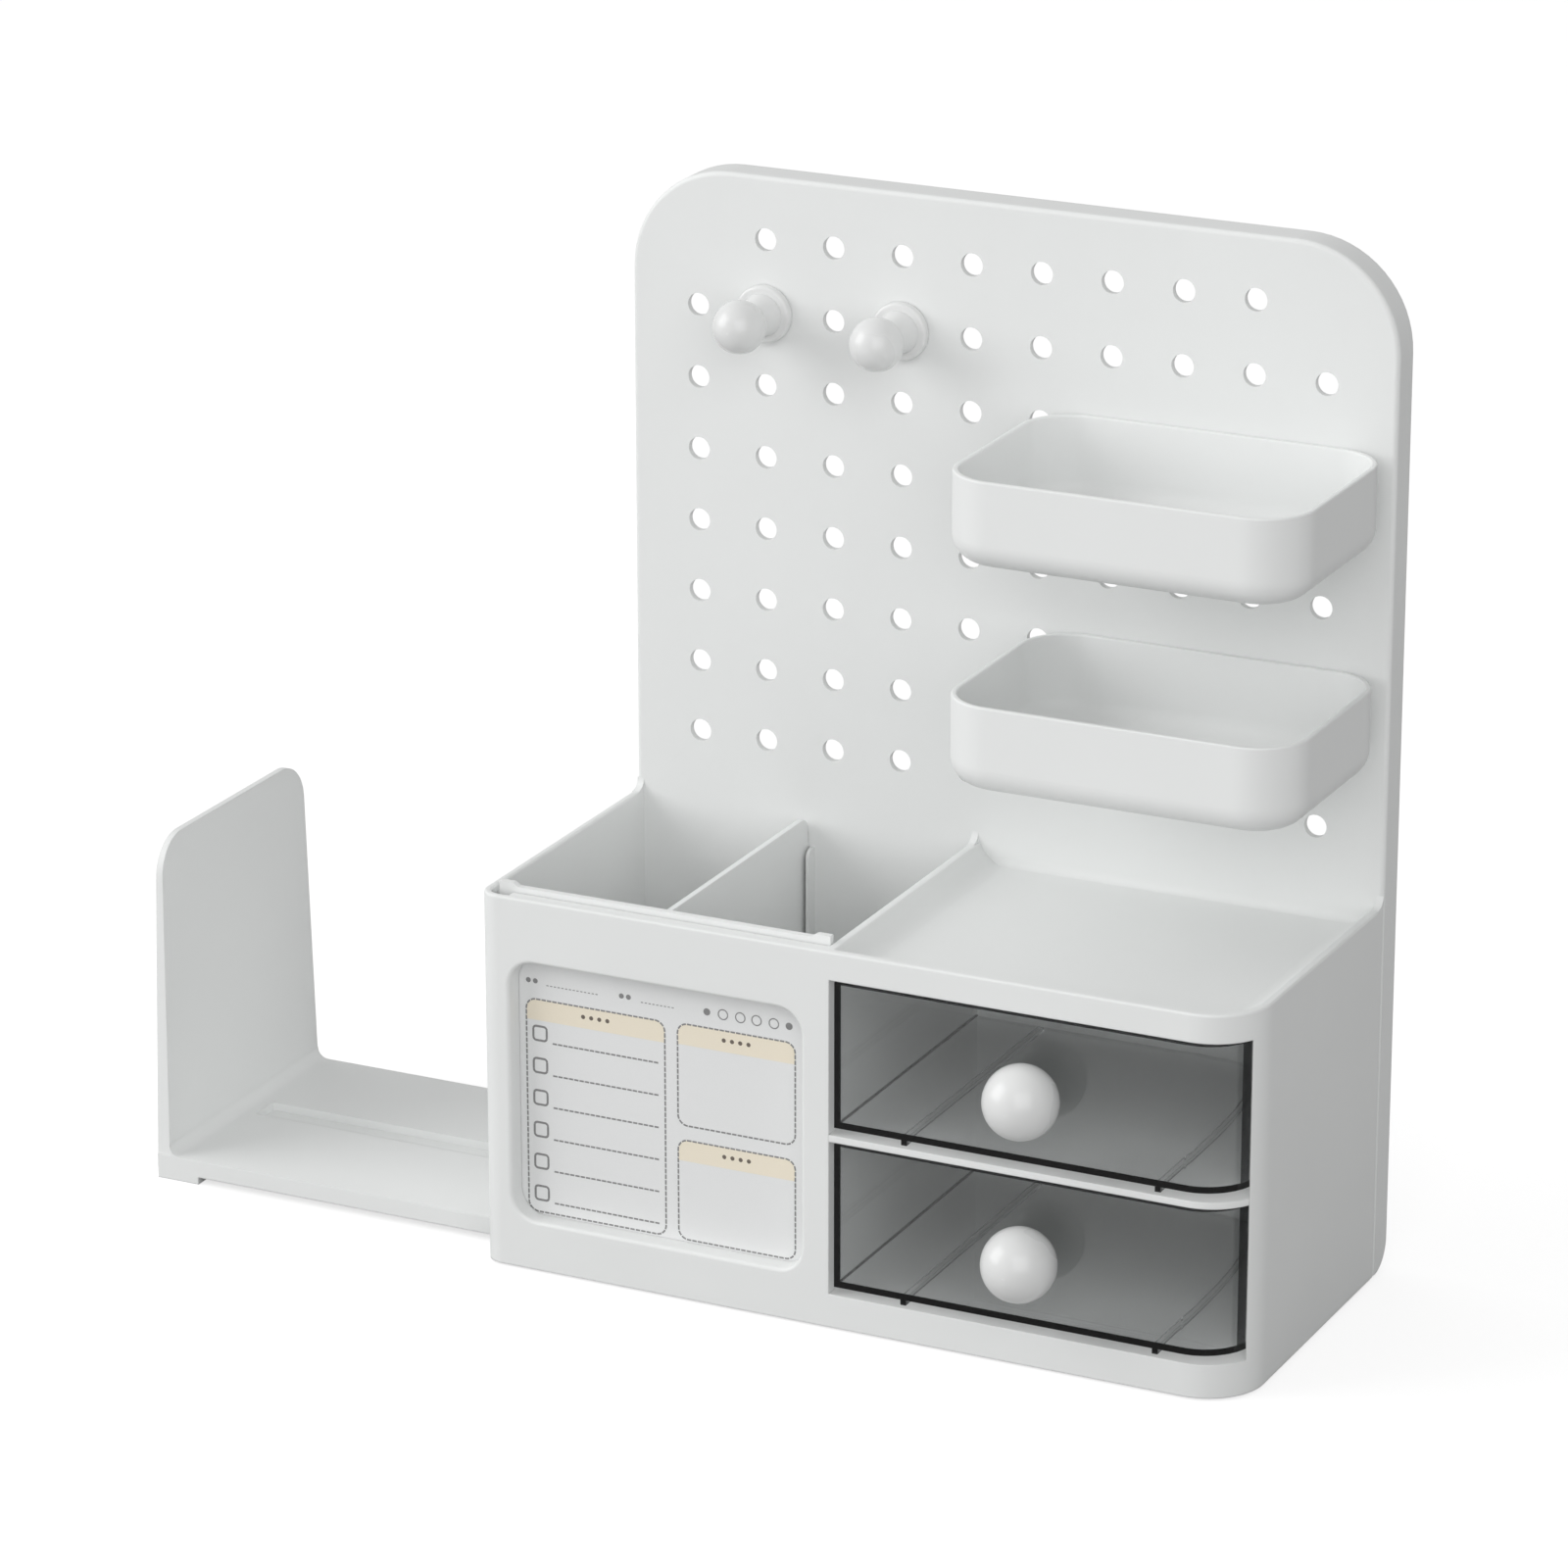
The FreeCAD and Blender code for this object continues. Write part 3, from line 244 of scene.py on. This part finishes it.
def moulded_white(name, colour, roughness, edge_radius, grain_depth, seam=NO_SEAM):
    """Satin white moulding with rounded edges painted slightly lighter, as wear and painted highlight, and a
    trace of dust.
    """
    material, tree, shader = new_material(name)
    grain = place_group(
        tree, GRAIN, Grain_Scale=2600.0, Grain_Depth=grain_depth, Mottle=0.035,
        Roughness=roughness, Roughness_Spread=0.12,
    )
    edges = place_group(tree, EDGES, Radius=edge_radius, Seam=seam)
    dust = place_group(tree, DUST, Amount=0.06)
    body = toned(tree, colour, grain.outputs["Tone"])
    # wear and painted highlight: the colour turns lighter on the rounded edges
    highlight_and_wear = math_node(tree, "MULTIPLY", edges.outputs["Edge"], HIGHLIGHT_AND_WEAR_SHARE)
    highlighted_and_worn = mix_colours(tree, highlight_and_wear, body, HIGHLIGHT_AND_WORN_EDGE)
    dusty = mix_colours(tree, dust.outputs["Mask"], highlighted_and_worn, DUST_COLOUR)
    tree.links.new(dusty, shader.inputs["Base Color"])
    tree.links.new(grain.outputs["Roughness"], shader.inputs["Roughness"])
    raise_grain(tree, shader, grain, 0.10, 0.00004, edges)
    shader.inputs["IOR"].default_value = 1.46
    shader.inputs["Specular IOR Level"].default_value = 0.42
    return material


def polished_white():
    """Glossy white of the knobs and hooks: clear coat over a faintly uneven body."""
    material, tree, shader = new_material("polished_white")
    grain = place_group(
        tree, GRAIN, Grain_Scale=900.0, Grain_Depth=1.0, Mottle=0.02, Roughness=0.28, Roughness_Spread=0.10,
    )
    edges = place_group(tree, EDGES, Radius=0.0005)
    body = toned(tree, (0.80, 0.806, 0.802), grain.outputs["Tone"])
    tree.links.new(body, shader.inputs["Base Color"])
    tree.links.new(grain.outputs["Roughness"], shader.inputs["Roughness"])
    raise_grain(tree, shader, grain, 0.03, 0.00002, edges)
    shader.inputs["Coat Weight"].default_value = 0.3
    shader.inputs["Coat Roughness"].default_value = 0.12
    return material


# reaches of the painted shade along the drawers' corners and front edges
WALL_REACH = 1.8 * MM
FLOOR_REACH = 3.7 * MM
SIDE_REACH = 2.4 * MM
TOP_REACH = 0.7 * MM
FRONT_REACH = 12.5 * MM


def painted_edge_shade_group():
    """Mask for painted shade on a box drawer's solid corners, standing in for the dark that trapped light
    leaves in
    the plastic: along the foot of the left wall and round all four sides of the front. Sizes are Object
    coordinates of the box's faces."""
    faces = [(label, "NodeSocketFloat", 0.0) for label in ("Left", "Right", "Front", "Bottom", "Top")]
    group, start, end = new_group("painted_edge_shade", faces, [("Mask", "NodeSocketFloat")])
    split = group.nodes.new("ShaderNodeSeparateXYZ")
    group.links.new(group.nodes.new("ShaderNodeTexCoord").outputs["Object"], split.inputs[0])

    def within(axis, face, reach):
        distance = math_node(group, "SUBTRACT", split.outputs[axis], start.outputs[face])
        return math_node(group, "LESS_THAN", math_node(group, "ABSOLUTE", distance), reach)

    left_wall = within("X", "Left", WALL_REACH)
    floor = within("Z", "Bottom", FLOOR_REACH)
    foot = math_node(group, "MULTIPLY", left_wall, floor)
    square = math_node(group, "MAXIMUM", left_wall, floor)
    square = math_node(group, "MULTIPLY", square, within("Y", "Front", WALL_REACH))
    bent = math_node(
        group, "MAXIMUM", within("X", "Right", SIDE_REACH), within("Z", "Top", TOP_REACH),
    )
    bent = math_node(group, "MULTIPLY", bent, within("Y", "Front", FRONT_REACH))
    mask = math_node(group, "MAXIMUM", foot, math_node(group, "MAXIMUM", square, bent))
    group.links.new(mask, end.inputs["Mask"])
    return group


PAINTED_EDGE_SHADE = painted_edge_shade_group()
# painted shade: near-black colour laid on the drawers' corners and front edges
PAINTED_SHADE_BLACK = (0.03, 0.03, 0.032, 1)
SMOKE_COLOUR = (0.04, 0.05, 0.055, 1)
SMOKE_DENSITY = 36.0


def smoked_clear(name, drawer_name):
    """Smoked clear plastic: refracting walls that absorb light along their length, so that a wall seen edge
    on is nearly black; painted shade darkens the colour further along the corners and front edges. Shadow rays
    and scattered rays pass straight, dimmed by the same absorption."""
    material, tree, shader = new_material(name)
    low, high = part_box(drawer_name)
    corners = place_group(
        tree, PAINTED_EDGE_SHADE, Left=low.x, Right=high.x, Front=low.y, Bottom=low.z, Top=high.z,
    )
    grain = place_group(
        tree, GRAIN, Grain_Scale=700.0, Grain_Depth=1.0, Mottle=0.04, Roughness=0.012, Roughness_Spread=0.02,
    )
    edges = place_group(tree, EDGES, Radius=0.00025)
    clear = toned(tree, (0.96, 0.97, 0.97), grain.outputs["Tone"])
    # painted shade: the clear colour turns near black inside the corner mask
    body = mix_colours(tree, corners.outputs["Mask"], clear, PAINTED_SHADE_BLACK)
    tree.links.new(body, shader.inputs["Base Color"])
    tree.links.new(grain.outputs["Roughness"], shader.inputs["Roughness"])
    tree.links.new(edges.outputs["Normal"], shader.inputs["Normal"])
    shader.inputs["Transmission Weight"].default_value = 1.0
    shader.inputs["IOR"].default_value = 1.49
    tint = tree.nodes.new("ShaderNodeVolumeAbsorption")
    tint.inputs["Color"].default_value = SMOKE_COLOUR
    tint.inputs["Density"].default_value = SMOKE_DENSITY
    through = tree.nodes.new("ShaderNodeBsdfTransparent")
    through.inputs["Color"].default_value = (1.0, 1.0, 1.0, 1)
    rays = tree.nodes.new("ShaderNodeLightPath")
    mix = tree.nodes.new("ShaderNodeMixShader")
    light_passes = math_node(tree, "MAXIMUM", rays.outputs["Is Shadow Ray"], rays.outputs["Is Diffuse Ray"])
    tree.links.new(light_passes, mix.inputs[0])
    tree.links.new(shader.outputs[0], mix.inputs[1])
    tree.links.new(through.outputs[0], mix.inputs[2])
    output = tree.nodes["Material Output"]
    tree.links.new(mix.outputs[0], output.inputs["Surface"])
    tree.links.new(tint.outputs[0], output.inputs["Volume"])
    return material


def card_stock():
    """Laminated planner card: cool white with a trace of paper fibre under a satin film."""
    material, tree, shader = new_material("card_stock")
    place = tree.nodes.new("ShaderNodeTexCoord").outputs["Object"]
    fibres = noise(tree, place, 3000.0, 4.0, 0.7)
    shade = mix_colours(tree, fibres, (0.80, 0.81, 0.81, 1), (0.86, 0.865, 0.865, 1))
    tree.links.new(shade, shader.inputs["Base Color"])
    rough = math_node(tree, "MULTIPLY_ADD", fibres, 0.12, 0.38)
    tree.links.new(rough, shader.inputs["Roughness"])
    return material


def printed_ink(name, colour, darker):
    """Ink on the card: its density varies a little with the paper under it."""
    material, tree, shader = new_material(name)
    place = tree.nodes.new("ShaderNodeTexCoord").outputs["Object"]
    density = noise(tree, place, 2400.0, 3.0, 0.6)
    tree.links.new(mix_colours(tree, density, colour, darker), shader.inputs["Base Color"])
    rough = math_node(tree, "MULTIPLY_ADD", density, 0.15, 0.40)
    tree.links.new(rough, shader.inputs["Roughness"])
    return material


def zinc_steel():
    """Zinc-plated screws: fine turned streaks and cloudy tarnish."""
    material, tree, shader = new_material("zinc_steel")
    place = tree.nodes.new("ShaderNodeTexCoord").outputs["Object"]
    cloud = noise(tree, place, 400.0, 4.0, 0.6)
    plating = mix_colours(tree, cloud, (0.52, 0.52, 0.52, 1), (0.68, 0.68, 0.70, 1))
    tree.links.new(plating, shader.inputs["Base Color"])
    rough = math_node(tree, "MULTIPLY_ADD", cloud, 0.25, 0.22)
    tree.links.new(rough, shader.inputs["Roughness"])
    shader.inputs["Metallic"].default_value = 1.0
    return material


def foot_rubber():
    """Grey rubber with a dusty, slightly pitted face."""
    material, tree, shader = new_material("foot_rubber")
    grain = place_group(
        tree, GRAIN, Grain_Scale=1500.0, Grain_Depth=1.0, Mottle=0.20, Roughness=0.75, Roughness_Spread=0.1,
    )
    body = toned(tree, (0.16, 0.16, 0.165), grain.outputs["Tone"])
    tree.links.new(body, shader.inputs["Base Color"])
    tree.links.new(grain.outputs["Roughness"], shader.inputs["Roughness"])
    raise_grain(tree, shader, grain, 0.3, 0.0001)
    return material


WHITE = (0.85, 0.862, 0.856)
HOUSING = moulded_white("housing_white", WHITE, 0.42, 0.0007, 1.0, BOARD_FRONT)
BOOKEND_WHITE = moulded_white("bookend_white", WHITE, 0.42, 0.0007, 1.0)
THIN_WHITE = moulded_white("thin_wall_white", (0.855, 0.866, 0.861), 0.38, 0.0005, 0.7)
GLOSSY_WHITE = polished_white()
SCREW_STEEL = zinc_steel()
FINISHES = {
    "cabinet_shell": HOUSING,
    "pegboard_panel": HOUSING,
    "middle_shelf": HOUSING,
    "bottom_cover": HOUSING,
    "bookend": BOOKEND_WHITE,
    "bin_divider": THIN_WHITE,
    "memo_board": THIN_WHITE,
    "upper_tray": THIN_WHITE,
    "lower_tray": THIN_WHITE,
    "memo_card": card_stock(),
    "cover_screws": SCREW_STEEL,
    "rubber_feet": foot_rubber(),
    "left_hook": GLOSSY_WHITE,
    "right_hook": GLOSSY_WHITE,
}
for level in ("upper", "lower"):
    FINISHES[f"{level}_knob"] = GLOSSY_WHITE
    FINISHES[f"{level}_drawer"] = smoked_clear(f"smoked_{level}", f"{level}_drawer")
    FINISHES[f"{level}_knob_screw"] = SCREW_STEEL
for node_name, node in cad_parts.items():
    node.data.materials.clear()
    node.data.materials.append(FINISHES[node_name])


# ---------------------------------------------------------------- printed planner card

CARD_LOW, CARD_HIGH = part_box("memo_card")
INK_THICKNESS = 0.05 * MM
INK_FRONT = CARD_LOW.y - INK_THICKNESS
BAND_THICKNESS = INK_THICKNESS / 2
LINE_WIDTH = 0.58 * MM
DASH_LENGTH = 1.6 * MM
DASH_GAP = 0.4 * MM
PANEL_CORNER = 3.6 * MM
BAND_HEIGHT = 7.4 * MM


def on_card(x, z):
    """A place in millimetres from the cabinet's middle and the desk, in metres."""
    return CABINET_MIDDLE_X + x * MM, z * MM


def print_piece(name, vertices, faces, material):
    """A mesh piece of the card's print; it rides on the memo board."""
    mesh = bpy.data.meshes.new(name)
    mesh.from_pydata(vertices.tolist(), [], faces)
    mesh.update()
    mesh.materials.append(material)
    piece = bpy.data.objects.new(name, mesh)
    bpy.context.scene.collection.objects.link(piece)
    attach(piece, "memo_board")


def ribbons(centres, normals, width):
    """Flat raised strips. centres is (strips, points, 2) in the card's plane and normals the unit side
    directions; each point gives four corners, at half the width to each side, on the card and on the
    ink's front face, and the corners of neighbouring points are joined into a closed bar."""
    strips, points, _ = centres.shape
    low = centres - normals * width / 2
    high = centres + normals * width / 2
    corners = np.zeros((strips, points, 4, 3))
    for index, (plane, depth) in enumerate(
        ((low, CARD_LOW.y), (high, CARD_LOW.y), (high, INK_FRONT), (low, INK_FRONT))
    ):
        corners[:, :, index, 0] = plane[:, :, 0]
        corners[:, :, index, 1] = depth
        corners[:, :, index, 2] = plane[:, :, 1]
    base = (np.arange(strips)[:, None, None] * points + np.arange(points - 1)[None, :, None]) * 4
    side = np.arange(4)[None, None, :]
    turn = (side + 1) % 4
    walls = np.stack([base + side, base + turn, base + 4 + turn, base + 4 + side], axis=-1)
    first = np.arange(strips)[:, None] * points * 4
    start_caps = first + np.array([3, 2, 1, 0])
    end_caps = first + (points - 1) * 4 + np.array([0, 1, 2, 3])
    return corners.reshape(-1, 3), np.concatenate([walls.reshape(-1, 4), start_caps, end_caps])


def joined(parts):
    """Join (vertices, faces) pairs into one array of vertices and one list of faces."""
    vertices, faces, offset = [], [], 0
    for part_vertices, part_faces in parts:
        vertices.append(part_vertices)
        faces.append(part_faces + offset)
        offset += len(part_vertices)
    return np.concatenate(vertices), np.concatenate(faces).tolist()


def rounded_outline(left, right, bottom, top, corner):
    """Closed outline of a rounded rectangle and the length along it at each point: four quarter circles,
    joined by straight sides."""
    quarter = np.linspace(0, math.pi / 2, 13)
    centres = ((right - corner, top - corner), (left + corner, top - corner),
               (left + corner, bottom + corner), (right - corner, bottom + corner))
    loops = [
        np.stack([x + corner * np.cos(quarter + turn * math.pi / 2),
                  z + corner * np.sin(quarter + turn * math.pi / 2)], axis=1)
        for turn, (x, z) in enumerate(centres)
    ]
    loop = np.concatenate(loops + [loops[0][:1]])
    lengths = np.concatenate([[0], np.cumsum(np.linalg.norm(np.diff(loop, axis=0), axis=1))])
    return loop, lengths


def dashed(loop, lengths, dash, gap, points=5):
    """Centres and side normals of dashes along a line: the line is walked by length, each dash takes its
    share of a whole number of steps."""
    count = max(1, round(lengths[-1] / (dash + gap)))
    step = lengths[-1] / count
    share = dash / (dash + gap)
    along = (np.arange(count)[:, None] + np.linspace(0, share, points)[None, :]) * step
    centres = np.stack([np.interp(along, lengths, loop[:, axis]) for axis in (0, 1)], axis=-1)
    heading = np.gradient(centres, axis=1)
    heading /= np.linalg.norm(heading, axis=-1, keepdims=True)
    normals = np.stack([-heading[..., 1], heading[..., 0]], axis=-1)
    return centres, normals


def straight(x0, x1, z):
    """A level line as a two-point path with its lengths."""
    return np.array([[x0, z], [x1, z]]), np.array([0, x1 - x0])


def disc_piece(name, centres, radius, material, sides=20):
    """Round dots of one size as one piece. Each dot is a ring of points at equal angles on the card and the
    same ring on the ink's front face, with a wall of four-cornered faces and a flat cap at each end."""
    angle = np.linspace(0, 2 * math.pi, sides, endpoint=False)
    ring = np.stack([np.cos(angle), np.sin(angle)], axis=1) * radius
    here = np.arange(sides)
    after = (here + 1) % sides
    walls = np.stack([here, after, after + sides, here + sides], axis=1)
    vertices, faces = [], []
    for number, centre in enumerate(centres):
        rim = ring + centre
        back = np.column_stack([rim[:, 0], np.full(sides, CARD_LOW.y), rim[:, 1]])
        vertices.extend([back, back + (0, -INK_THICKNESS, 0)])
        first = number * 2 * sides
        faces.extend([(here + sides + first).tolist(), (here[::-1] + first).tolist()])
        faces.extend((walls + first).tolist())
    print_piece(name, np.concatenate(vertices), faces, material)


def header_band(left, right, top, corner, height, columns=40):
    """Band with two round top corners: columns of a top and a bottom point, the top falling away as a
    circle near each end."""
    quarter = np.linspace(0, math.pi / 2, columns // 4)
    x = np.concatenate([
        left + corner * (1 - np.cos(quarter)),
        right - corner * (1 - np.cos(quarter[::-1])),
    ])
    reach = np.clip(np.maximum(left + corner - x, x - (right - corner)), 0, corner)
    high = top - corner + np.sqrt(corner ** 2 - reach ** 2)
    count = len(x)
    low = np.full(count, top - height)
    outline = np.concatenate([np.column_stack([x, high]), np.column_stack([x[::-1], low])])
    back = np.column_stack([outline[:, 0], np.full(2 * count, CARD_LOW.y), outline[:, 1]])
    front = back + (0, -BAND_THICKNESS, 0)
    column = np.arange(count - 1)
    mirror = 2 * count - 1 - column
    offset = 2 * count
    front_faces = np.stack([column, mirror, mirror - 1, column + 1], axis=1) + offset
    back_faces = np.stack([column, column + 1, mirror - 1, mirror], axis=1)
    around = np.arange(2 * count)
    after = (around + 1) % (2 * count)
    walls = np.stack([around, around + offset, after + offset, after], axis=1)
    return np.concatenate([back, front]), np.concatenate([front_faces, back_faces, walls])


# panels are (left, right, bottom, top) in millimetres
PANELS = (
    (-122.9, -71.5, 18.8, 94.8),
    (-66.8, -23.9, 59.4, 95.3),
    (-66.8, -23.9, 18.8, 54.2),
)
CHECK_ROWS = [82.8 - 11.44 * row for row in range(6)]  # heights of the check boxes' middles
CHECK_CENTRE = -117.9
CHECK_HALF = 2.5
CHECK_CORNER = 1.1 * MM
CHECK_LINE_WIDTH = 0.75 * MM
WRITING_LEFT, WRITING_RIGHT = -113.2, -73.6
WRITING_DROP = 2.9
LABEL_LINES = ((-115.3, -95.6), (-80.2, -67.5))
LABEL_LINE_HEIGHT = 100.2
LABEL_DOTS = (-122.0, -119.4, -87.4, -84.8)
LABEL_DOT_HEIGHT = 101.2
WEATHER_HEIGHT = 100.9
WEATHER_RINGS = (-50.1, -43.8, -37.9, -31.6)
WEATHER_DOTS = (-26.1, -56.0)
RING_RADIUS = 1.7 * MM
HEADING_DOTS = (-4.5, -1.5, 1.5, 4.5)  # from the panel's middle
HEADING_DROP = 3.4
INK_GREY = printed_ink("ink_grey", (0.20, 0.20, 0.20, 1), (0.32, 0.32, 0.32, 1))
INK_TAN = printed_ink("ink_tan", (0.88, 0.80, 0.65, 1), (0.91, 0.84, 0.70, 1))
INK_BROWN = printed_ink("ink_brown", (0.13, 0.11, 0.09, 1), (0.20, 0.17, 0.14, 1))


def card_lines():
    """Dashed frames of the panels, writing lines, check boxes, label lines and weather rings."""
    parts = []
    for left, right, bottom, top in PANELS:
        (x0, z0), (x1, z1) = on_card(left, bottom), on_card(right, top)
        path = rounded_outline(x0, x1, z0, z1, PANEL_CORNER)
        parts.append(ribbons(*dashed(*path, DASH_LENGTH, DASH_GAP), LINE_WIDTH))
    for row in CHECK_ROWS:
        x0, z = on_card(WRITING_LEFT, row - WRITING_DROP)
        x1, _ = on_card(WRITING_RIGHT, row)
        parts.append(ribbons(*dashed(*straight(x0, x1, z), DASH_LENGTH, DASH_GAP), LINE_WIDTH))
        x0, z0 = on_card(CHECK_CENTRE - CHECK_HALF, row - CHECK_HALF)
        x1, z1 = on_card(CHECK_CENTRE + CHECK_HALF, row + CHECK_HALF)
        path = rounded_outline(x0, x1, z0, z1, CHECK_CORNER)
        parts.append(ribbons(*dashed(*path, 3 * MM, 0.05 * MM, 9), CHECK_LINE_WIDTH))
    for left, right in LABEL_LINES:
        (x0, z), (x1, _) = on_card(left, LABEL_LINE_HEIGHT), on_card(right, LABEL_LINE_HEIGHT)
        parts.append(ribbons(*dashed(*straight(x0, x1, z), 0.8 * MM, 0.6 * MM), 0.3 * MM))
    for centre in WEATHER_RINGS:
        x, z = on_card(centre, WEATHER_HEIGHT)
        r = RING_RADIUS
        path = rounded_outline(x - r, x + r, z - r, z + r, r * 0.999)
        parts.append(ribbons(*dashed(*path, 1 * MM, 0.02 * MM, 5), 0.38 * MM))
    print_piece("card_lines", *joined(parts), INK_GREY)


def card_bands():
    """Tan header bands at the tops of the three panels."""
    parts = []
    for left, right, bottom, top in PANELS:
        (x0, _), (x1, z1) = on_card(left, bottom), on_card(right, top)
        parts.append(header_band(x0, x1, z1, PANEL_CORNER, BAND_HEIGHT))
    print_piece("card_bands", *joined(parts), INK_TAN)


card_lines()
card_bands()
heading_dots = [
    on_card((left + right) / 2 + offset, top - HEADING_DROP)
    for left, right, _, top in PANELS for offset in HEADING_DOTS
]
label_dots = [on_card(x, LABEL_DOT_HEIGHT) for x in LABEL_DOTS]
weather_dots = [on_card(x, WEATHER_HEIGHT) for x in WEATHER_DOTS]
disc_piece("card_heading_dots", heading_dots, 0.75 * MM, INK_BROWN)
disc_piece("card_label_dots", label_dots, 0.9 * MM, INK_GREY)
disc_piece("card_weather_dots", weather_dots, 1.25 * MM, INK_GREY)


# ---------------------------------------------------------------- camera

FOCAL_PIXELS = 6854.9  # focal length over pixel pitch, for a frame 1600 pixels wide
FRAME_PIXELS = 1600
SENSOR_WIDTH = 36.0  # millimetres
CAMERA_ORIGIN_Y = CABINET_LOW.y + 64 * MM  # half way back in the cabinet
CAMERA_PLACE = (CABINET_MIDDLE_X + 0.86521, CAMERA_ORIGIN_Y - 1.88521, 0.89359)
CAMERA_HEADING = math.radians(26.032)
CAMERA_DROP = math.radians(19.225)
CAMERA_ROLL = math.radians(-0.078)


def add_camera():
    """Long lens from the front right, looking down a little."""
    data = bpy.data.cameras.new("camera")
    data.sensor_width = SENSOR_WIDTH
    data.lens = SENSOR_WIDTH * FOCAL_PIXELS / FRAME_PIXELS
    data.clip_end = 50
    camera = bpy.data.objects.new("camera", data)
    turn = (
        Matrix.Rotation(CAMERA_HEADING, 3, "Z")
        @ Matrix.Rotation(math.pi / 2 - CAMERA_DROP, 3, "X")
        @ Matrix.Rotation(CAMERA_ROLL, 3, "Z")
    )
    camera.matrix_world = Matrix.Translation(CAMERA_PLACE) @ turn.to_4x4()
    bpy.context.scene.collection.objects.link(camera)
    bpy.context.scene.camera = camera


# ---------------------------------------------------------------- studio

LAMP_AIM = (0.0, 0.0, 0.15)
SOFTBOXES = (  # name, place, size in metres, power in watts
    ("left", (-2.1, -1.15, 1.3), 1.8, 26),
    ("front_right", (1.4, -2.2, 1.3), 2.4, 29),
)
BACKDROP_SEEN = 1.0
BACKDROP_MIRRORED = 0.40
LIGHT_ALL_ROUND = 0.37
LIGHT_FROM_ABOVE = 0.06
LIGHT_FROM_LEFT = 0.84


def add_world():
    """Even pale surroundings: plain white where they are seen, dimmer where they are mirrored, and as light
    a little brighter overhead and much brighter towards the left, by the parts of the direction."""
    world = bpy.data.worlds.new("studio")
    bpy.context.scene.world = world
    world.use_nodes = True
    tree = world.node_tree
    background = tree.nodes["Background"]
    background.inputs["Color"].default_value = (1, 1, 1, 1)
    rays = tree.nodes.new("ShaderNodeLightPath")
    seen = math_node(tree, "MAXIMUM", rays.outputs["Is Camera Ray"], rays.outputs["Is Transmission Ray"])
    mirrored = math_node(tree, "SUBTRACT", rays.outputs["Is Glossy Ray"], seen)
    mirrored = math_node(tree, "MAXIMUM", mirrored, 0.0)
    split = tree.nodes.new("ShaderNodeSeparateXYZ")
    tree.links.new(tree.nodes.new("ShaderNodeTexCoord").outputs["Generated"], split.inputs[0])
    above = math_node(tree, "MAXIMUM", split.outputs["Z"], 0.0)
    leftward = math_node(tree, "MINIMUM", split.outputs["X"], 0.0)
    light = math_node(tree, "MULTIPLY_ADD", above, LIGHT_FROM_ABOVE, LIGHT_ALL_ROUND)
    light = math_node(tree, "MULTIPLY_ADD", leftward, -LIGHT_FROM_LEFT, light)
    unseen = math_node(tree, "SUBTRACT", 1.0, math_node(tree, "ADD", seen, mirrored))
    light = math_node(tree, "MULTIPLY", light, unseen)
    strength = math_node(tree, "MULTIPLY_ADD", mirrored, BACKDROP_MIRRORED, light)
    strength = math_node(tree, "MULTIPLY_ADD", seen, BACKDROP_SEEN, strength)
    tree.links.new(strength, background.inputs["Strength"])


FLOOR_COLOUR = (0.45, 0.45, 0.45, 1)
FLOOR_GLOW = 0.70
FLOOR_HALF = 15.0


def add_floor():
    """Floor that keeps the object's shadow and reads as near white, though it throws little light back."""
    mesh = bpy.data.meshes.new("floor")
    signs = ((-1, -1), (1, -1), (1, 1), (-1, 1))
    mesh.from_pydata([(x * FLOOR_HALF, y * FLOOR_HALF, 0) for x, y in signs], [], [(0, 1, 2, 3)])
    material = bpy.data.materials.new("floor_paper")
    material.use_nodes = True
    tree = material.node_tree
    tree.nodes.remove(tree.nodes["Principled BSDF"])
    paper = tree.nodes.new("ShaderNodeBsdfDiffuse")
    paper.inputs["Color"].default_value = FLOOR_COLOUR
    glow = tree.nodes.new("ShaderNodeEmission")
    rays = tree.nodes.new("ShaderNodeLightPath")
    seen = math_node(tree, "MAXIMUM", rays.outputs["Is Camera Ray"], rays.outputs["Is Transmission Ray"])
    tree.links.new(math_node(tree, "MULTIPLY", seen, FLOOR_GLOW), glow.inputs["Strength"])
    both = tree.nodes.new("ShaderNodeAddShader")
    tree.links.new(paper.outputs[0], both.inputs[0])
    tree.links.new(glow.outputs[0], both.inputs[1])
    tree.links.new(both.outputs[0], tree.nodes["Material Output"].inputs["Surface"])
    mesh.materials.append(material)
    floor = bpy.data.objects.new("floor", mesh)
    bpy.context.scene.collection.objects.link(floor)


def add_softbox(name, place, size, power):
    """Square softbox that shines from a place towards the part's lower half."""
    data = bpy.data.lights.new(name, "AREA")
    data.shape = "SQUARE"
    data.size = size
    data.energy = power
    lamp = bpy.data.objects.new(name, data)
    turn = (Vector(LAMP_AIM) - Vector(place)).to_track_quat("-Z", "Y")
    lamp.matrix_world = Matrix.Translation(place) @ turn.to_matrix().to_4x4()
    bpy.context.scene.collection.objects.link(lamp)


add_camera()
add_world()
add_floor()
for softbox in SOFTBOXES:
    add_softbox(*softbox)
bpy.context.scene.view_settings.view_transform = "Standard"
